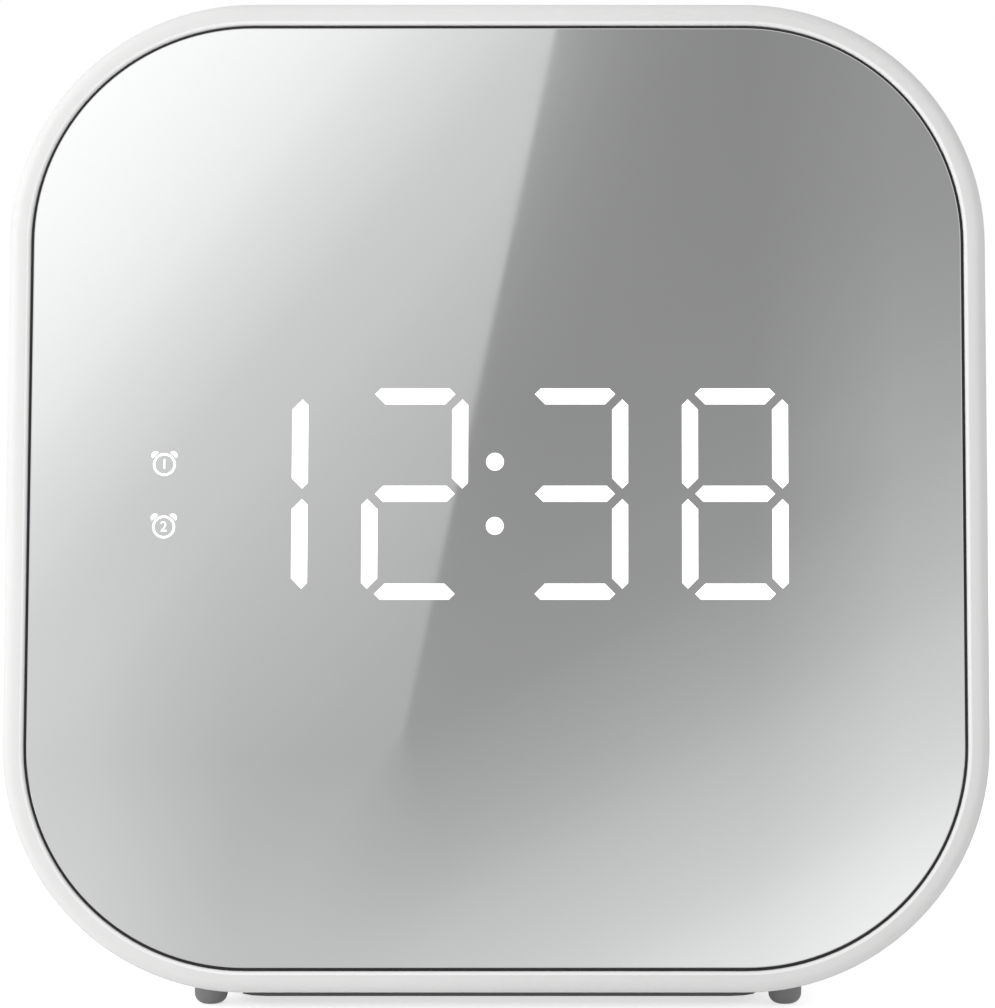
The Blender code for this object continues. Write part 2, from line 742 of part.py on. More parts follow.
def socket_openings():
    """Openings in the back for the USB socket, the supply jack and the aerial's gland."""
    usb_middle = SOCKET_BOTTOM + USB_SIZE[2] / 2
    usb = moved(rounded_rectangle(USB_SIZE[0] + 2 * GAP, USB_SIZE[2] + 2 * GAP, 0.8, 3), (USB_X, usb_middle))
    reach = (BACK_INSIDE - 1, BACK_Y + REACH)
    return [
        prism(usb, *reach, place_xz),
        cylinder(JACK_BARREL_RADIUS + GAP, *reach, (JACK_X, jack_axis_z()), 20, place_xz),
        cylinder(GLAND_RADIUS + GAP, *reach, (AERIAL_X, SHELL_BOTTOM + AERIAL_RISE), 14, place_xz),
    ]


def rear_screws():
    """Four screws that pull the rear shell onto the housing's pillars."""
    seat = BACK_Y - SCREW_SEAT_DEPTH + GAP
    for label, (x, z) in corners(PILLAR_X, PILLAR_Z).items():
        screw(
            f"rear_screw_{label}",
            (x, seat, SHELL_MIDDLE + z),
            (0, 1, 0),
            SCREW_LENGTH,
            SCREW_SHANK_RADIUS,
            SCREW_HEAD_RADIUS,
        )


def small_screw(name, seat, direction, length=SMALL_SCREW_LENGTH):
    return screw(name, seat, direction, length, SMALL_SHANK_RADIUS, SMALL_HEAD_RADIUS)


def screw(name, seat, direction, length, shank_radius, head_radius):
    """A pan-head screw with a cross slot. seat is under its head, and direction points out of the head."""
    height = head_radius * 0.7
    profile = (
        (shank_radius * 0.5, -length),
        (shank_radius, 1.2 - length),
        (shank_radius, 0.0),
        (head_radius, 0.0),
        (head_radius, height * 0.55),
        (head_radius * 0.7, height),
    )
    obj = new_object(name, lathe(profile, 10), steel())
    wide = head_radius * 0.55
    narrow = head_radius * 0.13
    for label, across, along in (("slot", wide, narrow), ("cross_slot", narrow, wide)):
        groove = box((-across, -along, height * 0.6), (across, along, height + 1))
        cut(obj, new_object(f"{name}_{label}", groove, helper=True, parent=obj))
    obj.location = in_metres(seat)
    obj.rotation_euler = Vector((0, 0, 1)).rotation_difference(Vector(direction)).to_euler()
    return obj


# ---------------------------------------------------------------- mirror and display
def face_plate(name, outline, start, end, finish, face):
    """A flat piece parallel to the face, between two depths behind it."""
    return new_object(name, prism(outline, start, end, place_xz), finish, parent=face)


def mirror_plate(face):
    face_plate(
        "mirror_plate", face_outline(RIM_WIDTH + GAP), MIRROR_SET_BACK, MIRROR_BACK, mirror_finish(), face
    )


def mirror_tape(face):
    """A ring of black foam tape that holds the mirror to the frame."""
    inset = RIM_WIDTH + 2 * GAP
    tape = face_plate("mirror_tape", face_outline(inset), TAPE_FRONT, TAPE_BACK, black_film(), face)
    inside = prism(face_outline(inset + TAPE_WIDTH), TAPE_FRONT - 1, TAPE_BACK + 1, place_xz)
    cut(tape, new_object("tape_inside", inside, helper=True, parent=face))


def front_frame(face):
    """The black plate behind the mirror, with the display's window and four posts for its board."""
    frame = face_plate(
        "front_frame", face_outline(RIM_WIDTH + GAP), FRAME_FRONT, FRAME_BACK, black_plastic(), face
    )
    window = moved(rounded_rectangle(MODULE_WIDTH + 2 * GAP, MODULE_HEIGHT + 2 * GAP, 1.5, 3), MODULE_CENTRE)
    opening = prism(window, 0, FRAME_BACK + 1, place_xz)
    cut(frame, new_object("frame_window", opening, helper=True, parent=face))
    posts = [
        cylinder(DISPLAY_POST_RADIUS, FRAME_BACK - 0.6, DISPLAY_BOARD_FRONT - GAP, place, 12, place_xz)
        for place in display_post_places()
    ]
    join(frame, new_object("frame_posts", several(*posts), helper=True, parent=face))
    pilots = [
        cylinder(SMALL_SHANK_RADIUS + GAP, FRAME_BACK + GAP, DISPLAY_BOARD_BACK, place, 8, place_xz)
        for place in display_post_places()
    ]
    cut(frame, new_object("frame_pilots", several(*pilots), helper=True, parent=face))


def display_post_places():
    """Two screw posts, at the upper left and lower right of the display's window."""
    across = MODULE_WIDTH / 2 + GAP + DISPLAY_POST_RADIUS + 0.2
    rise = MODULE_HEIGHT / 2 + 2.5
    return [(MODULE_CENTRE[0] + side * across, MODULE_CENTRE[1] - side * rise) for side in (-1, 1)]


def bar(start, end, low, high, start_tip, end_tip):
    """A segment lying along the first axis, with 45 degree points at both ends."""
    return [
        (start, start_tip),
        (start + start_tip - low, low),
        (end - end_tip + low, low),
        (end, end_tip),
        (end - high + end_tip, high),
        (start + high - start_tip, high),
    ]


def digit_segments(shrink):
    """The seven segments of a digit round its middle, each taken in by shrink on all sides."""
    half_width = DIGIT_WIDTH / 2
    half_height = DIGIT_HEIGHT / 2
    width = SEGMENT_WIDTH
    outer_tip = 0.36 * width
    diagonal = SEGMENT_SPACE / math.sqrt(2)
    reach = half_width - outer_tip - diagonal - shrink * math.sqrt(2)
    middle_reach = half_width - width / 2 - diagonal - shrink * math.sqrt(2)
    inner = half_height - width + shrink
    outer = half_height - shrink
    tip = half_height - outer_tip
    side_inner = half_width - width + shrink
    side_outer = half_width - shrink
    low_end = diagonal + shrink * math.sqrt(2)
    high_end = half_height - outer_tip - diagonal - shrink * math.sqrt(2)
    side_tips = (half_width - width / 2, half_width - outer_tip)
    top = bar(-reach, reach, inner, outer, tip, tip)
    centre = bar(-middle_reach, middle_reach, shrink - width / 2, width / 2 - shrink, 0.0, 0.0)
    upright = bar(low_end, high_end, side_inner, side_outer, *side_tips)
    return {
        "top": top,
        "upper_right": [(b, a) for a, b in reversed(upright)],
        "lower_right": [(b, -a) for a, b in upright],
        "bottom": [(a, -b) for a, b in reversed(top)],
        "lower_left": [(-b, -a) for a, b in reversed(upright)],
        "upper_left": [(-b, a) for a, b in upright],
        "centre": centre,
    }


def light_outlines(shrink):
    """Every window of the display in the face's plane: four digits, the colon and two alarm icons."""
    outlines = []
    for place in range(4):
        offset = (DISPLAY_CENTRE[0] + (place - 1.5) * DIGIT_PITCH, DISPLAY_CENTRE[1])
        outlines += [moved(points, offset) for points in digit_segments(shrink).values()]
    for up in (-1, 1):
        height = DISPLAY_CENTRE[1] + up * COLON_RISE
        outlines.append(circle(COLON_RADIUS - shrink, 10, (DISPLAY_CENTRE[0], height)))
        outlines.append(circle(ICON_RADIUS - shrink, 10, (DISPLAY_CENTRE[0] + ICON_OFFSET, height)))
    return outlines


def display_stack(face):
    """Mask, diffuser, reflector block and board, one behind another."""
    mask_size = rounded_rectangle(MODULE_WIDTH + 2 * MASK_MARGIN, MODULE_HEIGHT + 2 * MASK_MARGIN, 2.0, 3)
    mask = face_plate(
        "display_mask", moved(mask_size, MODULE_CENTRE), MASK_FRONT, MASK_BACK, black_film(), face
    )
    windows = [prism(points, MASK_FRONT - 1, MASK_BACK + 1, place_xz) for points in light_outlines(0.0)]
    cut(mask, new_object("mask_windows", several(*windows), helper=True, parent=face))

    module = moved(rounded_rectangle(MODULE_WIDTH, MODULE_HEIGHT, 1.0, 2), MODULE_CENTRE)
    diffuser = face_plate("segment_diffuser", module, DIFFUSER_FRONT, DIFFUSER_BACK, milky_plastic(), face)
    bosses = [
        prism(points, MASK_FRONT, DIFFUSER_FRONT + DIFFUSER_THICKNESS / 2, place_xz)
        for points in light_outlines(GAP)
    ]
    join(diffuser, new_object("diffuser_bosses", several(*bosses), helper=True, parent=face))

    reflector = face_plate(
        "display_reflector", module, REFLECTOR_FRONT, REFLECTOR_BACK, milky_plastic(), face
    )
    wells = [
        prism(points, REFLECTOR_FRONT - 1, REFLECTOR_BACK + 1, place_xz)
        for points in light_outlines(0.1)
    ]
    cut(reflector, new_object("reflector_wells", several(*wells), helper=True, parent=face))

    board_size = (MODULE_WIDTH + 2 * DISPLAY_BOARD_MARGIN, MODULE_HEIGHT + 2 * DISPLAY_BOARD_MARGIN)
    board = face_plate(
        "display_board",
        moved(rounded_rectangle(*board_size, 1.5, 2), MODULE_CENTRE),
        DISPLAY_BOARD_FRONT,
        DISPLAY_BOARD_BACK,
        circuit_board(),
        face,
    )
    chips = []
    for points in light_outlines(0.1):
        middle_x = sum(x for x, _ in points) / len(points)
        middle_z = sum(z for _, z in points) / len(points)
        chip = circle(LED_SIZE[0] * 0.7, 4)
        chips.append(
            prism(
                moved(chip, (middle_x, middle_z)),
                DISPLAY_BOARD_FRONT - LED_SIZE[1],
                DISPLAY_BOARD_FRONT + 0.5,
                place_xz,
            )
        )
    join(board, new_object("board_leds", several(*chips), helper=True, parent=face))
    radius = SMALL_SHANK_RADIUS + GAP
    holes = [
        cylinder(radius, DISPLAY_BOARD_FRONT - 1, DISPLAY_BOARD_BACK + 1, place, 8, place_xz)
        for place in display_post_places()
    ]
    cut(board, new_object("board_screw_holes", several(*holes), helper=True, parent=face))

    for label, place in zip(("upper", "lower"), display_post_places()):
        fixing = small_screw(f"display_screw_{label}", (0, 0, 0), (0, 1, 0))
        fixing.parent = face
        fixing.location = in_metres((place[0], DISPLAY_BOARD_BACK + GAP, place[1]))


# ---------------------------------------------------------------- keys
def key_outline(size, grow, centre):
    """A key's outline: a bar with half-round ends, grown on all sides."""
    width, depth = size[0] + 2 * grow, size[1] + 2 * grow
    return moved(rounded_rectangle(width, depth, depth / 2 - 0.01, 5), centre)


def small_key_places():
    """Eight small keys in two rows behind the snooze key."""
    names = (
        ("tune_down_key", "tune_up_key", "volume_down_key", "volume_up_key"),
        ("power_key", "alarm_one_key", "alarm_two_key", "set_key"),
    )
    places = {}
    for row, y in zip(names, KEY_ROWS_Y):
        for column, name in enumerate(row):
            places[name] = ((column - 1.5) * KEY_PITCH, y)
    return places


def key(name, size, centre, stems):
    """A key cap with a flange that keeps it in the housing, and the stems that press on the domes."""

    def outline_ring(shrink, z):
        return [(x, y, z) for x, y in key_outline(size, -shrink, (0.0, 0.0))]

    top = SHELL_TOP + KEY_PROUD
    rings = [
        outline_ring(-KEY_FLANGE, KEY_FLANGE_BOTTOM),
        outline_ring(-KEY_FLANGE, KEY_FLANGE_TOP),
        outline_ring(0.0, KEY_FLANGE_TOP),
        outline_ring(0.0, top - KEY_EDGE_ROUND),
        outline_ring(KEY_EDGE_ROUND, top),
    ]
    cap = new_object(name, loft(rings), white_plastic())
    posts = [
        cylinder(KEY_STEM_RADIUS, KEY_STEM_BOTTOM, KEY_FLANGE_BOTTOM + 0.4, (x, 0.0), 10) for x in stems
    ]
    helper = new_object(f"{name}_stems", several(*posts), helper=True, parent=cap)
    join(cap, helper)
    cap.location = in_metres((*centre, 0.0))
    return cap


def keys():
    quarter = SNOOZE_SIZE[0] / 3
    key("snooze_key", SNOOZE_SIZE, (0.0, SNOOZE_Y), (-quarter, quarter))
    for name, centre in small_key_places().items():
        key(name, SMALL_KEY_SIZE, centre, (0.0,))


def keypad():
    """The silicone sheet whose domes push the keys back up, and the board under it."""
    pad = moved(rounded_rectangle(KEYPAD_WIDTH, KEYPAD_DEPTH, 2.0, 2), (0.0, KEYPAD_MIDDLE))
    sheet = new_object("keypad_membrane", prism(pad, MEMBRANE_BOTTOM, MEMBRANE_TOP), grey_rubber())
    quarter = SNOOZE_SIZE[0] / 3
    places = [(-quarter, SNOOZE_Y), (quarter, SNOOZE_Y), *small_key_places().values()]
    domes = []
    for centre in places:
        profile = (
            (DOME_RADIUS, MEMBRANE_TOP - MEMBRANE_THICKNESS / 2),
            (DOME_RADIUS, MEMBRANE_TOP),
            (DOME_RADIUS * 0.6, DOME_TOP),
        )
        domes.append(lathe(profile, 10, centre))
    join(sheet, new_object("membrane_domes", several(*domes), helper=True))

    board = moved(rounded_rectangle(KEY_BOARD_WIDTH, KEYPAD_DEPTH, 1.5, 2), (0.0, KEYPAD_MIDDLE))
    key_board = new_object("key_board", prism(board, KEY_BOARD_BOTTOM, KEY_BOARD_TOP), circuit_board())
    holes = [
        cylinder(STAKE_RADIUS + GAP, KEY_BOARD_BOTTOM - 1, KEY_BOARD_TOP + 1, (side * STAKE_X, y), 10)
        for side in (-1, 1)
        for y in (KEYPAD_FRONT + STAKE_SHOULDER, KEYPAD_BACK - STAKE_SHOULDER)
    ]
    cut(key_board, new_object("key_board_holes", several(*holes), helper=True))


# ---------------------------------------------------------------- base, cells and feet
def base_stake_places():
    """Four melted pins of the housing that hold the base panel's side flanges down."""
    across = BASE_WIDTH / 2 + BASE_FLANGE / 2
    return [
        (side * across, BASE_MIDDLE + end * BASE_STAKE_SPAN / 2) for side in (-1, 1) for end in (-1, 1)
    ]


def foot_top():
    """The top of a foot, inside its socket in the rounded bottom of the shell."""
    reach = max(0.0, FOOT_SPAN / 2 - CORNER_CENTRE[0])
    return SHELL_BOTTOM + CORNER_RADIUS - math.sqrt(CORNER_RADIUS**2 - reach**2) + FOOT_SOCKET


def foot_places():
    front = FRONT_Y + FOOT_FRONT
    rear = PART_Y - FOOT_REAR
    return {
        "foot_front_left": (-FOOT_SPAN / 2, front),
        "foot_front_right": (FOOT_SPAN / 2, front),
        "foot_rear_left": (-FOOT_SPAN / 2, rear),
        "foot_rear_right": (FOOT_SPAN / 2, rear),
    }


def feet():
    """Four domed rubber feet with a small flat tip."""
    bend = FOOT_RADIUS - FOOT_FLAT_RADIUS
    profile = [(FOOT_FLAT_RADIUS, 0.0)]
    for step in (1, 2, 3):
        angle = math.pi / 2 * step / 3
        profile.append((FOOT_FLAT_RADIUS + bend * math.sin(angle), bend * (1 - math.cos(angle))))
    profile.append((FOOT_RADIUS, foot_top()))
    for name, (x, y) in foot_places().items():
        foot = new_object(name, lathe(profile, 14), grey_rubber())
        foot.location = in_metres((x, y, 0.0))


def base_panel():
    """The dark panel under the shell: a tray with the battery bay and two posts for the main board."""

    def outline(grow):
        return moved(
            rounded_rectangle(BASE_WIDTH + 2 * grow, BASE_DEPTH + 2 * grow, BASE_CORNER + grow, 3),
            (0.0, BASE_MIDDLE),
        )

    panel = new_object("base_panel", prism(outline(0.0), BASE_BOTTOM, BASE_FLANGE_TOP), grey_plastic())
    flange_depth = BASE_DEPTH + BASE_FLANGE - 1
    flange_outline = rounded_rectangle(BASE_WIDTH + 2 * BASE_FLANGE, flange_depth, BASE_CORNER, 3)
    flange_middle = BASE_REAR + BASE_FLANGE - flange_depth / 2
    flange = prism(moved(flange_outline, (0.0, flange_middle)), BASE_FLANGE_BOTTOM, BASE_FLANGE_TOP)
    join(panel, new_object("base_flange", flange, helper=True))
    pocket = prism(outline(-WALL), BASE_BOTTOM + BASE_PLATE, BASE_FLANGE_TOP + REACH)
    cut(panel, new_object("base_pocket", pocket, helper=True))

    half_length = BAY_LENGTH / 2 + BAY_WALL
    half_width = BAY_WIDTH / 2 + BAY_WALL
    roof = BAY_CEILING + BAY_WALL
    bay = box(
        (-half_length, BASE_MIDDLE - half_width, BASE_BOTTOM + BASE_PLATE / 2),
        (half_length, BASE_MIDDLE + half_width, roof),
    )
    join(panel, new_object("base_bay", bay, helper=True))
    posts = [
        cylinder(BOARD_POST_RADIUS, roof - BAY_WALL / 2, MAIN_BOARD_BOTTOM - GAP, place, 12)
        for place in board_post_places()
    ]
    join(panel, new_object("base_board_posts", several(*posts), helper=True))

    inside = box(
        (-BAY_LENGTH / 2, BASE_MIDDLE - BAY_WIDTH / 2, BASE_BOTTOM - REACH),
        (BAY_LENGTH / 2, BASE_MIDDLE + BAY_WIDTH / 2, BAY_CEILING),
    )
    cut(panel, new_object("base_bay_inside", inside, helper=True))
    pilots = [
        cylinder(SMALL_SHANK_RADIUS + GAP, roof - BAY_WALL / 2, MAIN_BOARD_TOP, place, 8)
        for place in board_post_places()
    ]
    cut(panel, new_object("base_board_pilots", several(*pilots), helper=True))
    stake_holes = [
        cylinder(BASE_STAKE_RADIUS + GAP, BASE_FLANGE_BOTTOM - 1, BASE_FLANGE_TOP + 1, place, 8)
        for place in base_stake_places()
    ]
    cut(panel, new_object("base_stake_holes", several(*stake_holes), helper=True))
    slots = [
        box(
            (-BAY_LENGTH / 2 + GAP / 3, BASE_MIDDLE + side * CELL_Y - 1.8, BAY_CEILING - 1),
            (-BAY_LENGTH / 2 + 1.2, BASE_MIDDLE + side * CELL_Y + 1.8, roof + 1),
        )
        for side in (-1, 1)
    ]
    cut(panel, new_object("base_tail_slots", several(*slots), helper=True))
    reach = BAY_LENGTH / 2 + HINGE_PIN_LENGTH
    socket = cylinder(HINGE_PIN_RADIUS + GAP, -reach, reach, (HINGE_Y, HINGE_Z), 12, place_yz)
    cut(panel, new_object("base_hinge_sockets", socket, helper=True))


def board_post_places():
    return [(side * BOARD_POST_X, BOARD_POST_Y) for side in (-1, 1)]


def battery_door():
    """The door under the cells. It turns on two stub pins at its front edge, where its origin is."""
    half_length = BAY_LENGTH / 2 - GAP
    rear = BAY_WIDTH - 2 * GAP - DOOR_THICKNESS / 2
    half = DOOR_THICKNESS / 2
    front = [(-half * math.sin(math.pi * k / 6), -half * math.cos(math.pi * k / 6)) for k in range(7)]
    outline = [(rear, -half), (rear, half), *reversed(front)]
    door = new_object("battery_door", prism(outline, -half_length, half_length, place_yz), grey_plastic())
    pin_reach = half_length + HINGE_PIN_LENGTH
    pin = cylinder(HINGE_PIN_RADIUS, -pin_reach, pin_reach, (0.0, 0.0), 10, place_yz)
    join(door, new_object("door_pins", pin, helper=True, parent=door))
    tab = box(
        (-LATCH_WIDTH / 2, rear - GAP - LATCH_THICKNESS, 0.0),
        (LATCH_WIDTH / 2, rear - GAP, half + LATCH_RISE),
    )
    join(door, new_object("door_tab", tab, helper=True, parent=door))
    notch = cylinder(LATCH_WIDTH / 2, -half - 1, -half + 0.6, (0.0, rear), 16)
    cut(door, new_object("door_finger_notch", notch, helper=True, parent=door))
    door.location = in_metres((0.0, HINGE_Y, HINGE_Z))


def cell(name, side, turn):
    """A round cell lying across the bay. turn puts its raised end right (1) or left (-1)."""
    end = CELL_END * turn
    start = end - CELL_LENGTH * turn
    profile = (
        (CELL_RADIUS * 0.6, start),
        (CELL_RADIUS * 0.6, start + 0.4 * turn),
        (CELL_RADIUS, start + 0.4 * turn),
        (CELL_RADIUS, end),
        (CELL_RADIUS * 0.36, end),
        (CELL_RADIUS * 0.36, end + CELL_NIPPLE * turn),
    )
    centre = (BASE_MIDDLE + side * CELL_Y, CELL_Z)
    new_object(name, lathe(profile, 18, centre, place=place_yz), cell_jacket())


def spring_maker(side, turn):
    """A conical spring on the contact at the bay's right (1) or left (-1) end."""
    start = CONTACT_FACE * turn
    length = 2 * CONTACT_FACE - CELL_LENGTH - CELL_NIPPLE - 2 * GAP + CONTACT_THICKNESS / 2
    steps = 10 * SPRING_TURNS
    route = []
    for step in range(steps + 1):
        share = step / steps
        angle = 2 * math.pi * SPRING_TURNS * share
        radius = 3.2 - 1.4 * share
        root = CONTACT_THICKNESS / 2 - SPRING_WIRE * 0.2
        along = start + turn * (root - (length - SPRING_WIRE) * share)
        route.append(
            (along, BASE_MIDDLE + side * CELL_Y + radius * math.cos(angle), CELL_Z + radius * math.sin(angle))
        )
    return sweep(route, SPRING_WIRE, 5)


def contact_plate(turn, low_y, high_y, rise):
    """A thin plate at one end of the bay."""
    outer = (CONTACT_FACE + CONTACT_THICKNESS) * turn
    inner = CONTACT_FACE * turn
    return box((min(outer, inner), low_y, CELL_Z - 3.8), (max(outer, inner), high_y, CELL_Z + rise))


def contacts():
    """The spring contact and button contact at the left of the bay and the bridge at its right."""
    for name, side in (("battery_spring_contact", -1), ("battery_button_contact", 1)):
        middle = BASE_MIDDLE + side * CELL_Y
        plate = new_object(name, contact_plate(-1, middle - 3.8, middle + 3.8, 3.8), steel())
        tail = contact_plate(-1, middle - 1.2, middle + 1.2, BAY_CEILING + BAY_WALL + 0.6 - CELL_Z)
        join(plate, new_object(f"{name}_tail", tail, helper=True))
        if side < 0:
            join(plate, new_object(f"{name}_spring", spring_maker(side, -1), helper=True))
    low = BASE_MIDDLE - CELL_Y - 3.8
    high = BASE_MIDDLE + CELL_Y + 3.8
    bridge = new_object("battery_bridge_contact", contact_plate(1, low, high, 3.8), steel())
    join(bridge, new_object("bridge_spring", spring_maker(1, 1), helper=True))


# ---------------------------------------------------------------- main board and sockets
def jack_axis_z():
    return SOCKET_BOTTOM + JACK_SIZE[2] / 2


def main_board():
    half = MAIN_BOARD_WIDTH / 2
    sheet = box((-half, MAIN_BOARD_FRONT, MAIN_BOARD_BOTTOM), (half, MAIN_BOARD_BACK, MAIN_BOARD_TOP))
    board = new_object("main_board", sheet, circuit_board())
    holes = [
        cylinder(SMALL_SHANK_RADIUS + GAP, MAIN_BOARD_BOTTOM - 1, MAIN_BOARD_TOP + 1, place, 8)
        for place in board_post_places()
    ]
    cut(board, new_object("main_board_holes", several(*holes), helper=True))
    for label, (x, y) in zip(("left", "right"), board_post_places()):
        seat = MAIN_BOARD_TOP + GAP
        tip = BAY_CEILING + BAY_WALL / 2 + GAP
        small_screw(f"board_screw_{label}", (x, y, seat), (0, 0, 1), seat - tip)


def on_board(name, place, size, finish):
    """A block that stands on the main board."""
    low = (place[0] - size[0] / 2, place[1] - size[1] / 2, SOCKET_BOTTOM)
    high = (place[0] + size[0] / 2, place[1] + size[1] / 2, SOCKET_BOTTOM + size[2])
    return new_object(name, box(low, high), finish)


def board_pieces():
    on_board("tuner_shield", (TUNER_X, TUNER_Y), TUNER_SIZE, steel())
    processor = (PROCESSOR_X, BOARD_POST_Y + PROCESSOR_SETBACK)
    on_board("processor_chip", processor, PROCESSOR_SIZE, black_plastic())
    amplifier = (AMPLIFIER_X, BOARD_POST_Y + AMPLIFIER_SETBACK)
    on_board("amplifier_chip", amplifier, AMPLIFIER_SIZE, black_plastic())
    place = (CAPACITOR_X, MAIN_BOARD_BACK - CAPACITOR_FROM_BACK)
    radius = CAPACITOR_RADIUS
    profile = (
        (radius, SOCKET_BOTTOM),
        (radius, SOCKET_BOTTOM + 1.2),
        (radius - 0.3, SOCKET_BOTTOM + 1.5),
        (radius, SOCKET_BOTTOM + 1.8),
        (radius, SOCKET_BOTTOM + CAPACITOR_HEIGHT),
    )
    new_object("smoothing_capacitor", lathe(profile, 14, place), black_plastic())


def usb_socket():
    """A pressed steel shell open at the back of the radio, and the tongue inside it."""
    width, length, height = USB_SIZE
    middle = SOCKET_BOTTOM + height / 2
    start = SOCKET_MOUTH - length
    outside = moved(rounded_rectangle(width, height, 0.6, 2), (USB_X, middle))
    inner_width = width - 2 * USB_WALL
    inner_height = height - 2 * USB_WALL
    inside = moved(rounded_rectangle(inner_width, inner_height, 0.3, 1), (USB_X, middle))
    shell = new_object("usb_shell", prism(outside, start, SOCKET_MOUTH, place_xz), steel())
    cavity = prism(inside, start + USB_WALL, SOCKET_MOUTH + 1, place_xz)
    cut(shell, new_object("usb_cavity", cavity, helper=True))

    block = rounded_rectangle(inner_width - 2 * GAP, inner_height - 2 * GAP, 0.2, 1)
    back = start + USB_WALL + GAP
    block_end = SOCKET_MOUTH - 1.2 - USB_TONGUE[1]
    tongue = new_object(
        "usb_tongue", prism(moved(block, (USB_X, middle)), back, block_end, place_xz), black_plastic()
    )
    top = middle + inner_height / 2 - GAP
    blade = box(
        (USB_X - USB_TONGUE[0] / 2, block_end - 0.5, top - USB_TONGUE[2]),
        (USB_X + USB_TONGUE[0] / 2, block_end + USB_TONGUE[1], top - GAP),
    )
    join(tongue, new_object("usb_blade", blade, helper=True))


def supply_jack():
    """The low-voltage supply jack, a block with a round mouth, and its centre pin."""
    width, length, height = JACK_SIZE
    front = BACK_INSIDE - GAP
    axis = (JACK_X, jack_axis_z())
    body = new_object(
        "jack_body",
        box(
            (JACK_X - width / 2, front - length, SOCKET_BOTTOM),
            (JACK_X + width / 2, front, SOCKET_BOTTOM + height),
        ),
        black_plastic(),
    )
    barrel = cylinder(JACK_BARREL_RADIUS, front - 1, SOCKET_MOUTH, axis, 18, place_xz)
    join(body, new_object("jack_barrel", barrel, helper=True))
    bore_start = front - length + 4
    bore = cylinder(JACK_BORE_RADIUS, bore_start, SOCKET_MOUTH + 1, axis, 16, place_xz)
    cut(body, new_object("jack_bore", bore, helper=True))
    profile = (
        (JACK_PIN_RADIUS, bore_start + GAP),
        (JACK_PIN_RADIUS, SOCKET_MOUTH - 1.6),
        (JACK_PIN_RADIUS * 0.5, SOCKET_MOUTH - 1.0),
    )
    new_object("jack_pin", lathe(profile, 10, axis, place=place_xz), brass())


def aerial_gland():
    """A rubber bush in the back, which an aerial wire would leave through."""
    profile = (
        (GLAND_BORE, BACK_INSIDE - GAP - GLAND_FLANGE),
        (GLAND_RADIUS + GLAND_FLANGE, BACK_INSIDE - GAP - GLAND_FLANGE),
        (GLAND_RADIUS + GLAND_FLANGE, BACK_INSIDE - GAP),
        (GLAND_RADIUS, BACK_INSIDE - GAP),
        (GLAND_RADIUS, BACK_Y - 0.4),
        (GLAND_RADIUS - 0.3, BACK_Y - 0.1),
        (GLAND_BORE, BACK_Y - 0.1),
    )
    centre = (AERIAL_X, SHELL_BOTTOM + AERIAL_RISE)
    new_object("aerial_gland", lathe(profile, 12, centre, closed=True, place=place_xz), black_rubber())


